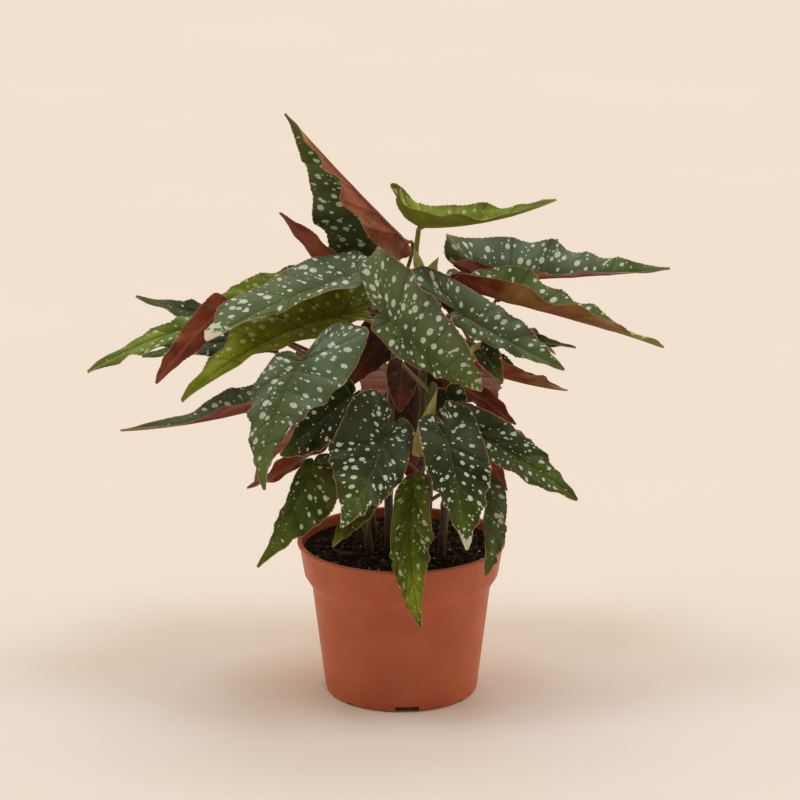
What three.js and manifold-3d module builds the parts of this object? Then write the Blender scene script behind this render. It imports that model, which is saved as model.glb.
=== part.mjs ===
// A polka dot begonia in a terracotta-coloured nursery pot. Millimetres, +Z up.
// The origin is the middle of the pot's foot, where the pot rests; -Y is the front.
import * as THREE from 'three';
import { mergeVertices } from 'three/addons/utils/BufferGeometryUtils.js';
import Module from 'manifold-3d';

const wasm = await Module();
wasm.setup();

// ---- driving dimensions -------------------------------------------------

const CLEARANCE = 0.3; // air between pieces that touch on the real plant

const POT = {
  height: 90,
  rimRadius: 60,
  lipHeight: 2, // the flat lip that stands a little proud of the band
  bandTop: 58.8, // outside radius of the band just under the lip
  bandFoot: 56,
  bandHeight: 19.5, // from the top of the pot to the band's lower edge
  stepHeight: 7, // the slope from the band in to the body
  bodyTop: 51.6,
  bodyFoot: 44.0,
  footRound: 1.2,
  wall: 1.5,
  floor: 4.5,
  sides: 48,
};

const DRAIN = {
  count: 4,
  turn: 4.3, // degrees by which the first channel is turned from the front
  width: 13.7,
  height: 3.3,
  padRadius: 16, // the flat middle of the foot that the channels leave
  holeRadius: 4,
  holeAt: 30,
  slotWidth: 6,
  slotHeight: 1.1,
  slotDepth: 2.5,
};

const SOIL = {
  top: 84.5,
  crown: 2.0, // how far the middle stands above the edge
  lumps: 1.1,
  sides: 32,
};

const CANE = {
  sides: 7,
  steps: 8,
  jointRadius: 1.35, // a joint's radius over the cane's
  depth: 28, // how far a cane reaches down into the soil
};

const PETIOLE = {
  sides: 5,
  steps: 4,
  radius: 1.25,
  seat: 0.9, // from a blade's middle sheet to its petiole's end
  drop: 0.55, // fall from blade to cane for each millimetre of reach
};

const BLADE = {
  thickness: 0.7,
  lobeRows: 3, // intervals along the edge of a basal lobe
  sideRows: 6, // intervals along the edge from lobe to tip
  columns: 2, // intervals from the midrib to the edge
  tipWidth: 0.012,
  lobeShare: 0.34, // share of the edge that belongs to the lobe
  wave: 0.02,
  waves: 3,
};

// Canes: radius, then the points that the axis passes through, soil to top.
const CANES = {
  left: { radius: 2.4, path: [[-18, -14], [-25, -10, 130], [-34, -4, 190], [-31, 1, 220]] },
  crown: { radius: 2.5, path: [[-7, -9], [-7, -7, 150], [-3, 1, 210], [-1, 12, 240]] },
  young: { radius: 2.3, path: [[9, 3], [12, 4, 160], [13, 2, 225], [11, -1, 252]] },
  right: { radius: 2.5, path: [[23, -18], [27, -15, 135], [33, -10, 185], [39, -9, 212]] },
  front: { radius: 2.6, path: [[5, -30], [8, -33, 125], [15, -33, 165], [18, -28, 192]] },
  back_left: { radius: 2.3, path: [[-16, 19], [-24, 25, 140], [-34, 26, 185], [-40, 26, 206]] },
  back_right: { radius: 2.3, path: [[15, 22], [18, 25, 140], [22, 27, 190], [23, 27, 214]] },
};

// Stipules, the papery sheaths at a joint: cane, foot, point, width.
const STIPULES = [
  ['front', [9, -35, 152], [20, -36, 190], 9],
  ['young', [12, 0, 240], [21, -4, 258], 8],
  ['young', [11, -1, 248], [7, -7, 264], 6],
  ['right', [38, -10, 200], [47, -15, 213], 8],
  ['left', [-34, -4, 195], [-27, -10, 212], 7],
  ['back_left', [-37, 26, 196], [-42, 35, 210], 7],
  ['back_right', [22, 27, 200], [29, 35, 216], 7],
];

// A half of a blade: [width, place of the widest point, length of the basal lobe, fullness
// towards the tip], all but the last as shares of the midrib, and its fold in degrees.
const SMALL = [0.28, 0.1, 0.15, 0.4, 10];
const LARGE = [0.34, 0.1, 0.28, 0.4, 10];

// Leaves: name, cane, foot of the midrib, tip, the way the upper face looks (azimuth and
// elevation in degrees), left half, right half, and what sets this leaf apart: bow of the
// midrib towards the upper face, bend towards the right half, fall of the lobes, height and
// number of the waves, and how its petiole runs (where it leaves the cane, and how it arrives).
const LEAVES = [
  ['leaf_centre', 'crown', [-6, -52, 233], [44, -74, 200], [-110, 10],
    [0.52, -0.1, 0.56, 0.8, 17], [0.19, 0.23, 0.17, 0.5, 13], { bow: 0.08 }],
  ['leaf_front_left', 'left', [-55, -55, 211], [-75, -80, 145], [-102, 19],
    [0.39, -0.05, 0.49, -0.15, 5], [0.24, 0.3, 0.05, 0.5, -6], { bow: 0.05, bend: 0.06, from: 202 }],
  ['leaf_left_broad', 'crown', [-24, -17, 252], [-108, -47, 221], [-105, 55],
    [0.17, 0.04, 0.1, 0.3, 27], [0.28, 0.12, 0.12, 1.2, -12], { bow: 0.02, bend: 0.02, lead: 0.38 }],
  ['leaf_left_bright', 'left', [-34, -10, 226], [-123, -30, 181], [-97, 55],
    [0.2, -0.1, 0.15, 0.1, 22], [0.22, 0.14, 0.27, 0.5, 15], { bow: 0.11 }],
  ['leaf_left_crest', 'back_left', [-32, 28, 231], [-112, 25, 221], [-90, 50],
    [0.16, 0.1, 0.2, 0.6, 10], [0.19, 0.1, 0.2, 0.9, 15], { bow: 0.09, wave: 0.025, waves: 5 }],
  ['leaf_far_left_top', 'back_left', [-85, 42, 210], [-153, 36, 225], [-90, 60],
    [0.25, 0.04, 0.3, 0.3, 10], [0.18, 0.09, 0.2, 0.3, 8], { bow: -0.03, bend: -0.02 }],
  ['leaf_far_left', 'back_left', [-93, 3, 222], [-177, -12, 193], [-96, 53],
    [0.13, 0.24, 0.2, 0.5, 16], [0.11, 0.05, 0.2, 0.6, 9], { bow: 0.07 }],
  ['leaf_left_red', 'back_left', [-97, -14, 234], [-137, -32, 192], [71, 25],
    [0.17, 0.15, 0.03, 0.8, 5], [0.16, 0.1, 0.03, 0.3, 5],
    { bow: 0.06, lead: 0.35, rise: 12, from: 203 }],
  ['leaf_far_left_low', 'back_left', [-80, 22, 203], [-148, 10, 196], [-90, 60],
    [0.2, 0.1, 0.15, 0.4, 10], [0.16, 0.1, 0.15, 0.4, 10], { bow: 0.04 }],
  ['leaf_left_low', 'left', [-62, -12, 178], [-158, -27, 163], [-91, 77],
    [0.18, -0.1, 0.3, 0.1, 64], [0.22, 0.07, 0.21, 0.1, 27], { bow: -0.04 }],
  ['leaf_crown_tall', 'crown', [3, 15, 262], [-65, 15, 336], [-135, 10],
    [0.42, 0.2, 0.07, 0.1, 5], [0.2, 0.25, 0.07, 0.5, 100], { bow: 0, bend: -0.01 }],
  ['leaf_crown_red', 'crown', [-33, 14, 240], [-69, 20, 278], [71, 24],
    [0.19, 0.03, 0.12, 0.6, 9], [0.21, 0, 0.12, 0.4, 11], { bow: 0.02 }],
  ['leaf_crown_young', 'young', [11, -2, 275], [87, 3, 289], [-90, 78],
    [0.2, -0.03, 0.22, 0.6, 39], [0.22, -0.1, 0.2, 0.2, 55], { bow: -0.06, fall: -4.2, lead: 0 }],
  ['leaf_right_top', 'young', [54, 8, 242], [152, 8, 248], [-90, 53],
    [0.28, 0.08, 0.32, 0.3, 9], [0.13, -0.1, 0.28, 0.6, 85], { bow: -0.02, fall: -1.5 }],
  ['leaf_right_folded', 'right', [54, -18, 237], [147, -22, 210], [-80, 85],
    [0.22, 0.1, 0.2, 0.2, 44], [0.16, 0.1, 0.3, 1, 62], { bow: 0.02, bend: 0.02 }],
  ['leaf_right_middle', 'right', [35, -36, 232], [90, -50, 205], [-89, 32],
    [0.25, 0.2, 0.69, 0.5, 5], [0.15, 0.16, 0.12, 0.3, 12], { bow: -0.01, bend: 0.01 }],
  ['leaf_right_behind', 'back_right', [46, 50, 236], [91, 55, 254], [-90, 50],
    [0.14, 0.1, 0.3, 0.4, 15], [0.16, 0.1, 0.2, 0.4, 15], { bow: 0.03 }],
  ['leaf_right_slim', 'back_right', [56, 20, 204], [100, 15, 200], [-90, 60],
    [0.14, 0.1, 0.2, 0.4, 15], [0.14, 0.1, 0.2, 0.4, 15], { bow: 0.03 }],
  ['leaf_right_red', 'right', [32, 6, 195], [95, 6, 177], [-90, 85],
    [0.26, 0.1, 0.3, 0.4, 40], [0.26, 0.07, 0.2, 0.8, 77], { bow: -0.03, bend: 0.02 }],
  ['leaf_right_small', 'right', [46, -22, 207], [57, -25, 190], [-80, 20],
    [0.4, 0.1, 0.3, 0.4, 10], [0.3, 0.1, 0.2, 0.4, 10], { bow: 0.03 }],
  ['leaf_right_low', 'right', [37, -35, 166], [98, -55, 131], [-78, 44],
    [0.22, 0.22, 0.29, 0.5, 3], [0.24, 0.2, 0.2, 0.6, 28], { bow: 0.06, from: 130 }],
  ['leaf_right_brown', 'right', [30, 16, 181], [66, 12, 155], [88, 34],
    [0.28, 0.1, 0.3, 0.4, 10], [0.24, 0.06, 0.2, 0.6, 5], { bow: 0.03 }],
  ['leaf_front_right', 'front', [25, -55, 167], [36, -85, 112], [-75, 15],
    [0.34, 0.28, 0.41, 0.4, -5], [0.25, 0.23, 0.29, 0.3, 3], { bow: 0.06 }],
  ['leaf_front_dark', 'right', [26, -17, 181], [35, -18, 153], [-85, 15],
    [0.34, 0.1, 0.2, 0.5, 0], [0.34, 0.1, 0.2, 0.5, 0], { bow: 0 }],
  ['leaf_front_middle', 'front', [-9, -54, 167], [-33, -94, 128], [-87, 25],
    [0.29, 0.32, 0.29, 0.3, 4], [0.46, 0.28, 0.48, 0.2, 6], { bow: 0.02, bend: -0.03 }],
  ['leaf_over_rim', 'front', [7, -50, 141], [11, -75, 63], [-99, 5],
    [0.16, 0.35, 0.08, 0.2, 18], [0.13, 0.49, 0.05, 0.5, 10], { bow: 0.05, bend: 0.04 }],
  ['leaf_rim_right', 'front', [47, -40, 139], [47, -55, 86], [-69, 4],
    [0.21, 0.42, 0.05, 0.7, 14], [0.05, 0.09, 0.11, 0.4, 34], { bow: 0.04 }],
  ['leaf_low_red', 'right', [43, -16, 152], [60, -22, 126], [90, 10],
    [0.28, 0.1, 0.3, 0.4, 10], [0.28, 0.1, 0.2, 0.4, 10], { bow: 0.03 }],
  ['leaf_low_left_red', 'left', [-46, -6, 151], [-88, -14, 125], [80, 47],
    [0.27, 0.09, 0.15, 0.4, 9], [0.29, -0.06, 0.12, 0.7, 17], { bow: -0.04, bend: 0.03 }],
  ['leaf_low_left_dark', 'left', [-28, -25, 183], [-68, -35, 151], [-98, 41],
    [0.35, 0.15, 0.18, 0.9, 7], [0.29, 0.07, 0.12, 0.4, 9], { bow: 0.04, bend: -0.02 }],
  ['leaf_low_left', 'left', [-50, -25, 143], [-81, -45, 88], [-104, 15],
    [0.35, 0.22, 0.14, 0.1, 10], [0.1, 0.22, 0.05, 0.3, 20], { bow: 0.02, bend: -0.03 }],
  ['leaf_inner_a', 'front', [1, -22, 200], [-1, -24, 173], [85, 15],
    [0.34, 0.2, 0.15, 0.6, 10], [0.34, 0.2, 0.15, 0.6, 10], { bow: 0.03 }],
  ['leaf_inner_b', 'crown', [-9, 14, 210], [-31, 10, 177], [80, 20],
    [0.34, 0.1, 0.3, 0.4, 10], [0.34, 0.1, 0.2, 0.4, 10], { bow: 0.03 }],
  ['leaf_inner_c', 'young', [28, 19, 236], [38, 17, 207], [90, 20],
    [0.34, 0.1, 0.2, 0.4, 8], [0.34, 0.1, 0.2, 0.4, 8], { bow: 0.03 }],
  ['leaf_near_soil', 'left', [-21, -30, 120], [-39, -42, 99], [-95, 60],
    [0.3, 0.1, 0.3, 0.4, 10], [0.3, 0.1, 0.2, 0.4, 10], { bow: 0.03 }],
  ['leaf_back_a', 'back_right', [40, 68, 226], [74, 116, 200], [60, 50], LARGE, SMALL, {}],
  ['leaf_back_b', 'back_left', [-26, 48, 248], [-50, 114, 214], [110, 45], SMALL, LARGE, {}],
  ['leaf_back_c', 'back_right', [56, 52, 200], [92, 96, 174], [50, 50], LARGE, SMALL, {}],
  ['leaf_back_d', 'back_left', [-58, 64, 212], [-106, 104, 180], [130, 50], SMALL, LARGE, {}],
  ['leaf_back_e', 'back_right', [2, 54, 214], [4, 122, 162], [90, 45], LARGE, SMALL, {}],
  ['leaf_back_f', 'back_right', [38, 52, 176], [54, 106, 132], [75, 40], LARGE, SMALL, {}],
  ['leaf_back_g', 'back_left', [-38, 53, 184], [-68, 104, 136], [115, 40], SMALL, LARGE, {}],
  ['leaf_back_h', 'back_left', [-4, 54, 176], [-8, 112, 122], [92, 35], LARGE, SMALL, {}],
  ['leaf_back_i', 'crown', [0, 40, 236], [-8, 100, 208], [95, 60], SMALL, LARGE, {}],
  ['leaf_back_j', 'back_right', [50, 46, 146], [84, 80, 104], [45, 40], LARGE, SMALL, {}],
  ['leaf_back_k', 'back_left', [-52, 44, 144], [-88, 74, 100], [140, 40], SMALL, LARGE, {}],
  ['leaf_inner_d', 'young', [9, 12, 186], [7, 14, 121], [90, 10],
    [0.24, 0.3, 0.08, 1, 6], [0.24, 0.3, 0.08, 1, 6], { bow: 0.02 }],
];

// Pieces and their colours.
const COLOURS = {
  pot: [0x9f5737, 0.62],
  soil: [0x2a1d15, 0.95],
  cane: [0x5d5a2a, 0.55],
  blade: [0x3d5a44, 0.45],
};

// ---- helpers ------------------------------------------------------------

const vec = (point) => new THREE.Vector3(...point);
const radians = THREE.MathUtils.degToRad;

// A closed geometry with shared corners, as a solid that can be cut and joined.
function solid(geometry) {
  const bare = geometry.index ? geometry.clone() : geometry;
  bare.deleteAttribute('normal');
  bare.deleteAttribute('uv');
  const merged = mergeVertices(bare, 1e-4);
  const corners = [];
  const index = merged.index.array;
  for (let i = 0; i < index.length; i += 3) {
    const [a, b, c] = [index[i], index[i + 1], index[i + 2]];
    if (a !== b && b !== c && c !== a) corners.push(a, b, c);
  }
  return new wasm.Manifold(new wasm.Mesh({
    numProp: 3,
    vertProperties: Float32Array.from(merged.attributes.position.array),
    triVerts: Uint32Array.from(corners),
  }));
}

function geometryOf(body) {
  const mesh = body.getMesh();
  const geometry = new THREE.BufferGeometry();
  geometry.setAttribute('position', new THREE.BufferAttribute(mesh.vertProperties, 3));
  geometry.setIndex(new THREE.BufferAttribute(mesh.triVerts, 1));
  return geometry;
}

function tube(curve, radius, sides, steps) {
  const section = new THREE.Shape();
  for (let i = 0; i < sides; i += 1) {
    const turn = (i / sides) * 2 * Math.PI;
    const point = [radius * Math.cos(turn), radius * Math.sin(turn)];
    if (i) section.lineTo(...point);
    else section.moveTo(...point);
  }
  section.closePath();
  return solid(new THREE.ExtrudeGeometry(section, {
    extrudePath: curve, steps, bevelEnabled: false,
  }));
}

// A body of revolution round Z from [radius, height] points, the first and last on the axis.
function turned(profile, sides) {
  const points = profile.map(([r, z]) => new THREE.Vector2(r, z));
  return new THREE.LatheGeometry(points, sides).rotateX(Math.PI / 2);
}

// ---- pot ----------------------------------------------------------------

const potStep = POT.height - POT.bandHeight - POT.stepHeight;
const bodyRadius = (z) => POT.bodyFoot + ((POT.bodyTop - POT.bodyFoot) * z) / potStep;
const insideRadius = (z) => {
  if (z < potStep) return bodyRadius(z) - POT.wall;
  const climb = Math.min((z - potStep) / POT.stepHeight, 1);
  const band = THREE.MathUtils.lerp(POT.bodyTop, POT.bandFoot, climb);
  const above = Math.max((z - potStep - POT.stepHeight) / POT.bandHeight, 0);
  return band + (POT.bandTop - POT.bandFoot) * above - POT.wall;
};

function makePot() {
  const lip = POT.height - POT.lipHeight;
  const bandEdge = POT.height - POT.bandHeight;
  let pot = solid(turned([
    [0, 0],
    [POT.bodyFoot - POT.footRound, 0],
    [bodyRadius(POT.footRound), POT.footRound],
    [POT.bodyTop, potStep],
    [POT.bandFoot, bandEdge],
    [POT.bandTop, lip],
    [POT.rimRadius, lip + 0.4],
    [POT.rimRadius, POT.height - 0.4],
    [POT.rimRadius - 0.5, POT.height],
    [insideRadius(POT.height), POT.height],
    [insideRadius(bandEdge), bandEdge],
    [insideRadius(potStep), potStep],
    [insideRadius(POT.floor), POT.floor],
    [0, POT.floor],
  ], POT.sides));
  for (let i = 0; i < DRAIN.count; i += 1) {
    const turn = radians(DRAIN.turn - 90 + (i * 360) / DRAIN.count);
    const slotTurn = turn + Math.PI / DRAIN.count;
    const length = POT.rimRadius - DRAIN.padRadius;
    const channel = new THREE.BoxGeometry(length, DRAIN.width, 2 * DRAIN.height)
      .translate(DRAIN.padRadius + length / 2, 0, 0).rotateZ(turn);
    const hole = new THREE.CylinderGeometry(DRAIN.holeRadius, DRAIN.holeRadius, 4 * POT.floor, 12)
      .rotateX(Math.PI / 2).translate(DRAIN.holeAt, 0, 0).rotateZ(turn);
    const slot = new THREE.BoxGeometry(4 * DRAIN.slotDepth, DRAIN.slotWidth, 2 * DRAIN.slotHeight)
      .translate(POT.bodyFoot + DRAIN.slotDepth, 0, 0).rotateZ(slotTurn);
    pot = pot.subtract(solid(channel)).subtract(solid(hole)).subtract(solid(slot));
  }
  return pot;
}

// ---- soil ---------------------------------------------------------------

// The soil fills the pot below its rim, with a lumpy top that is a little higher in the middle.
function makeSoil(canes) {
  const rings = [12, 24, 36, 46];
  const edge = insideRadius(SOIL.top) - CLEARANCE;
  const profile = [[0, POT.floor + CLEARANCE]];
  for (const z of [POT.floor + CLEARANCE, potStep, POT.height - POT.bandHeight, SOIL.top]) {
    profile.push([insideRadius(z) - CLEARANCE, z]);
  }
  for (const r of rings.reverse()) profile.push([r, SOIL.top]);
  profile.push([0, SOIL.top]);
  const geometry = turned(profile, SOIL.sides);
  const place = geometry.attributes.position;
  for (let i = 0; i < place.count; i += 1) {
    if (place.getZ(i) < SOIL.top - 0.01) continue;
    const [x, y] = [place.getX(i), place.getY(i)];
    const r = Math.hypot(x, y) / edge;
    if (r > 0.99) continue;
    const lump = Math.sin(0.31 * x + 1.3) * Math.cos(0.27 * y) + 0.6 * Math.sin(0.55 * (x + y));
    place.setZ(i, SOIL.top + SOIL.crown * (1 - r * r) + SOIL.lumps * lump * (1 - r));
  }
  let soil = solid(geometry);
  for (const { path, radius } of Object.values(canes)) {
    const curve = caneCurve(path);
    soil = soil.subtract(tube(curve, radius + CLEARANCE, CANE.sides, CANE.steps));
    const foot = new THREE.CylinderGeometry(radius + CLEARANCE, radius + CLEARANCE, 2, CANE.sides)
      .rotateX(Math.PI / 2).translate(path[0][0], path[0][1], SOIL.top - CANE.depth - 0.5);
    soil = soil.subtract(solid(foot));
  }
  return soil;
}

// ---- canes with their petioles and stipules -----------------------------

// A cane stands upright in the soil: its path starts straight under its first point.
function caneCurve(path) {
  const [foot, ...rest] = path;
  const [x, y] = foot;
  return new THREE.CatmullRomCurve3([
    new THREE.Vector3(x, y, SOIL.top - CANE.depth),
    new THREE.Vector3(x, y, SOIL.top + 2),
    ...rest.map(vec),
  ], false, 'catmullrom', 0.5);
}

// The point of a cane at a given height, by halving.
function caneAt(curve, height) {
  let [low, high] = [0, 1];
  for (let i = 0; i < 20; i += 1) {
    const middle = (low + high) / 2;
    if (curve.getPoint(middle).z < height) low = middle;
    else high = middle;
  }
  return curve.getPoint(low);
}

// A petiole leaves its cane outwards and upwards, and meets the blade square from below.
function makePetiole(curve, leaf) {
  const { foot, along, up } = leaf.frame;
  const end = foot.clone()
    .addScaledVector(up, -(PETIOLE.seat + CLEARANCE))
    .addScaledVector(along, -PETIOLE.radius);
  const top = curve.getPoint(1);
  const reach = Math.hypot(end.x - top.x, end.y - top.y);
  const height = leaf.from ?? end.z - PETIOLE.drop * reach - 6;
  const start = caneAt(curve, THREE.MathUtils.clamp(height, SOIL.top + 8, top.z - 2));
  const span = start.distanceTo(end);
  const away = new THREE.Vector3(end.x - start.x, end.y - start.y, 0);
  away.normalize().setZ(0.8).normalize();
  const arrival = end.clone()
    .addScaledVector(up, -Math.min(0.4 * span, leaf.rise))
    .addScaledVector(along, -leaf.lead * span);
  const path = new THREE.CubicBezierCurve3(
    start, start.clone().addScaledVector(away, 0.35 * span), arrival, end,
  );
  return tube(path, PETIOLE.radius, PETIOLE.sides, PETIOLE.steps);
}

// A stipule is a flat pointed sheath whose foot is sunk in the cane.
function makeStipule([, foot, point, width]) {
  const axis = vec(point).sub(vec(foot));
  const height = axis.length();
  const cone = new THREE.ConeGeometry(width / 2, height, 6);
  cone.scale(1, 1, 0.35).translate(0, height / 2 - 2, 0);
  const turn = new THREE.Quaternion().setFromUnitVectors(
    new THREE.Vector3(0, 1, 0), axis.clone().normalize(),
  );
  cone.applyQuaternion(turn).translate(...foot);
  return solid(cone);
}

function makeCane(name, leaves) {
  const { path, radius } = CANES[name];
  const curve = caneCurve(path);
  let cane = tube(curve, radius, CANE.sides, CANE.steps);
  for (const point of path.slice(1)) {
    const joint = new THREE.SphereGeometry(radius * CANE.jointRadius, 6, 3)
      .scale(1, 1, 0.8).translate(...point);
    cane = cane.add(solid(joint));
  }
  for (const leaf of leaves) cane = cane.add(makePetiole(curve, leaf));
  for (const row of STIPULES.filter(([owner]) => owner === name)) {
    cane = cane.add(makeStipule(row));
  }
  return cane;
}

// ---- leaves -------------------------------------------------------------

const cubic = (p, t) => {
  const u = 1 - t;
  return p[0] * u ** 3 + 3 * p[1] * u * u * t + 3 * p[2] * u * t * t + p[3] * t ** 3;
};

// The edge of one half, flat, as shares of the midrib: [ahead, aside] at s from 0, inside
// the basal lobe, to 1, the tip. The lobe and the side are a cubic curve each.
function edgeOf([width, widest, lobe, fullness], s) {
  if (s < BLADE.lobeShare) {
    const t = s / BLADE.lobeShare;
    return [
      cubic([-0.6 * lobe, -1.15 * lobe, -1.3 * lobe, widest], t),
      cubic([0.03 * width, 0.2 * width, 1.15 * width, width], t),
    ];
  }
  const t = (s - BLADE.lobeShare) / (1 - BLADE.lobeShare);
  const rest = 1 - widest;
  const slope = Math.min((0.4 * rest) / (widest + 1.3 * lobe + 0.05), 1);
  return [
    cubic([widest, widest + 0.4 * rest, widest + rest * (0.55 + 0.3 * fullness), 1], t),
    cubic([width, width * (1 - 0.15 * slope), width * (0.15 + 0.65 * fullness), BLADE.tipWidth], t),
  ];
}

// Where the side vein that ends at s leaves the midrib: all of a lobe's veins start at its foot.
function veinFoot(s) {
  const start = 0.8 * BLADE.lobeShare;
  return Math.max((s - start) / (1 - start), 0) ** 1.25;
}

class Leaf {
  constructor([name, cane, base, tip, face, left, right, habit], number) {
    Object.assign(this, { name, cane, halves: [left, right] });
    Object.assign(this, { bow: 0.06, bend: 0, fall: 0.3 });
    Object.assign(this, { lead: 0.1, rise: 14 });
    Object.assign(this, { wave: BLADE.wave, waves: BLADE.waves }, habit);
    this.phase = (0.37 * number) % 1;
    this.foot = vec(base);
    this.chord = vec(tip).sub(this.foot);
    this.length = this.chord.length();
    const forward = this.chord.clone().normalize();
    const [azimuth, elevation] = face.map(radians);
    this.up = new THREE.Vector3(
      Math.cos(elevation) * Math.cos(azimuth),
      Math.cos(elevation) * Math.sin(azimuth),
      Math.sin(elevation),
    );
    this.up.addScaledVector(forward, -this.up.dot(forward)).normalize();
    this.right = forward.clone().cross(this.up);
    this.arch = this.up.clone().multiplyScalar(this.bow).addScaledVector(this.right, this.bend);
    this.arch.multiplyScalar(this.length);
    this.frame = this.frameAt(0);
  }

  // The midrib is a parabola over its chord, and the frame follows it.
  frameAt(x) {
    const foot = this.foot.clone().addScaledVector(this.chord, x);
    foot.addScaledVector(this.arch, 4 * x * (1 - x));
    const along = this.chord.clone().addScaledVector(this.arch, 4 * (1 - 2 * x)).normalize();
    const up = this.up.clone().addScaledVector(along, -this.up.dot(along)).normalize();
    return { foot, along, up, right: along.clone().cross(up) };
  }

  // A point of the blade's middle sheet: side -1 or 1, s along the edge, t from midrib to edge.
  point(side, s, t) {
    const half = this.halves[side < 0 ? 0 : 1];
    const [ahead, aside] = edgeOf(half, s);
    const x = (1 - t) * veinFoot(s) + t * ahead;
    const y = t * aside;
    const place = THREE.MathUtils.clamp(x, 0, 1);
    const { foot, along, up, right } = this.frameAt(place);
    const behind = Math.max(-x, 0);
    const fold = radians(half[4] * (1 - 0.5 * place));
    const ripple = 2 * Math.PI * (this.waves * s + this.phase + (side > 0 ? 0.25 : 0));
    const edge = this.wave * t * t * Math.sin(ripple) * Math.sin(Math.PI * s) ** 0.4;
    const lift = y * Math.sin(fold) + edge - this.fall * behind * behind;
    return foot
      .addScaledVector(along, -behind * this.length)
      .addScaledVector(right, side * y * Math.cos(fold) * this.length)
      .addScaledVector(up, lift * this.length);
  }

  // The blade: the sheet's triangles, alike on both faces, with a rim round the edge.
  makeBlade() {
    const { lobeRows, sideRows, columns } = BLADE;
    const rows = [];
    const lobeEnd = 0.8 * BLADE.lobeShare;
    for (let i = 0; i <= lobeRows; i += 1) rows.push((lobeEnd * i) / lobeRows);
    for (let i = 1; i <= sideRows; i += 1) rows.push(lobeEnd + ((1 - lobeEnd) * i) / sideRows);
    const wide = 2 * columns + 1;
    const points = rows.flatMap((s) => Array.from({ length: wide }, (_, j) => {
      const t = (j - columns) / columns;
      return this.point(t < 0 ? -1 : 1, s, Math.abs(t));
    }));
    const shared = (i, j) => (j === columns && i < lobeRows ? lobeRows : i) * wide + j;
    const sheet = [];
    for (let i = 0; i + 1 < rows.length; i += 1) {
      for (let j = 0; j + 1 < wide; j += 1) {
        const [a, b] = [shared(i, j), shared(i, j + 1)];
        const [c, d] = [shared(i + 1, j + 1), shared(i + 1, j)];
        const faces = j < columns ? [[a, b, c], [a, c, d]] : [[a, b, d], [b, c, d]];
        sheet.push(...faces.filter(([p, q, r]) => p !== q && q !== r && r !== p));
      }
    }
    return this.thicken(points, sheet);
  }

  thicken(points, sheet) {
    const normals = points.map(() => new THREE.Vector3());
    const edges = new Map();
    for (const face of sheet) {
      const [p, q, r] = face.map((k) => points[k]);
      const normal = q.clone().sub(p).cross(r.clone().sub(p)).normalize();
      for (const k of face) normals[k].add(normal);
      for (let k = 0; k < 3; k += 1) edges.set(`${face[k]},${face[(k + 1) % 3]}`, 1);
    }
    const count = points.length;
    const half = BLADE.thickness / 2;
    const skin = [half, -half].flatMap((offset) => points.map(
      (point, k) => point.clone().addScaledVector(normals[k].clone().normalize(), offset),
    ));
    const faces = sheet.flatMap(([a, b, c]) => [[a, b, c], [a + count, c + count, b + count]]);
    for (const key of edges.keys()) {
      const [a, b] = key.split(',').map(Number);
      if (edges.has(`${b},${a}`)) continue;
      faces.push([b, a, a + count], [b, a + count, b + count]);
    }
    const geometry = new THREE.BufferGeometry();
    const flat = faces.flatMap((face) => face.flatMap((k) => skin[k].toArray()));
    geometry.setAttribute('position', new THREE.Float32BufferAttribute(flat, 3));
    return solid(geometry);
  }
}

// ---- the plant ----------------------------------------------------------

const plant = new THREE.Group();

function addPiece(name, body, [colour, roughness]) {
  const material = new THREE.MeshStandardMaterial({ color: colour, roughness, metalness: 0 });
  const mesh = new THREE.Mesh(geometryOf(body), material);
  mesh.name = name;
  plant.add(mesh);
}

const leaves = LEAVES.map((row, number) => new Leaf(row, number));

addPiece('pot', makePot(), COLOURS.pot);
addPiece('soil', makeSoil(CANES), COLOURS.soil);
for (const name of Object.keys(CANES)) {
  const own = leaves.filter((leaf) => leaf.cane === name);
  addPiece(`cane_${name}`, makeCane(name, own), COLOURS.cane);
}
for (const leaf of leaves) addPiece(leaf.name, leaf.makeBlade(), COLOURS.blade);

export default plant;
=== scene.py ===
# %% [markdown]
# # A polka dot begonia in a nursery pot
# This lesson dresses a plain solid model of a potted begonia. The solids come in as a fixed
# frame: a pot, soil, seven canes and 47 leaf blades, each a node of its own. Each step below
# makes one kind of piece again with a finer surface, in the same place, and the plain solid
# is then hidden. First come the camera, the light and a few helpers, and then the pieces.

import bpy
import numpy as np
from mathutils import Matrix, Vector


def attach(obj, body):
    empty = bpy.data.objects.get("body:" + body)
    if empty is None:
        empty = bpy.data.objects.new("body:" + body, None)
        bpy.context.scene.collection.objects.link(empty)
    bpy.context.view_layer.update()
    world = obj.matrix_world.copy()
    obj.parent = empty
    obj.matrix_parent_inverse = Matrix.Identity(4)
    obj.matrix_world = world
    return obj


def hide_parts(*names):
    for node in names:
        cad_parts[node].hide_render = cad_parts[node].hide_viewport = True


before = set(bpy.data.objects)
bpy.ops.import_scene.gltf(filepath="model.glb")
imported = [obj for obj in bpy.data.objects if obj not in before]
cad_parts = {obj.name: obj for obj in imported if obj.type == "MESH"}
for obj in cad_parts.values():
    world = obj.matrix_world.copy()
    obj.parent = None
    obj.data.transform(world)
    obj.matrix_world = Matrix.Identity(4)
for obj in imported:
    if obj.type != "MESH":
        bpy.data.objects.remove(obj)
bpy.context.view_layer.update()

# %% [markdown]
# ## Camera
# The photograph looks down a little on the plant. It has little perspective: the far side of
# the rim is hardly smaller than the near one. So a long lens from 1.8 metres away fits it. The
# tilt comes from how round the rim's ellipse looks. A real camera's numbers are used, because
# they can be changed one by one: where it aims, how far away it stands, its tilt, and its lens
# on a 36 mm sensor.

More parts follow.
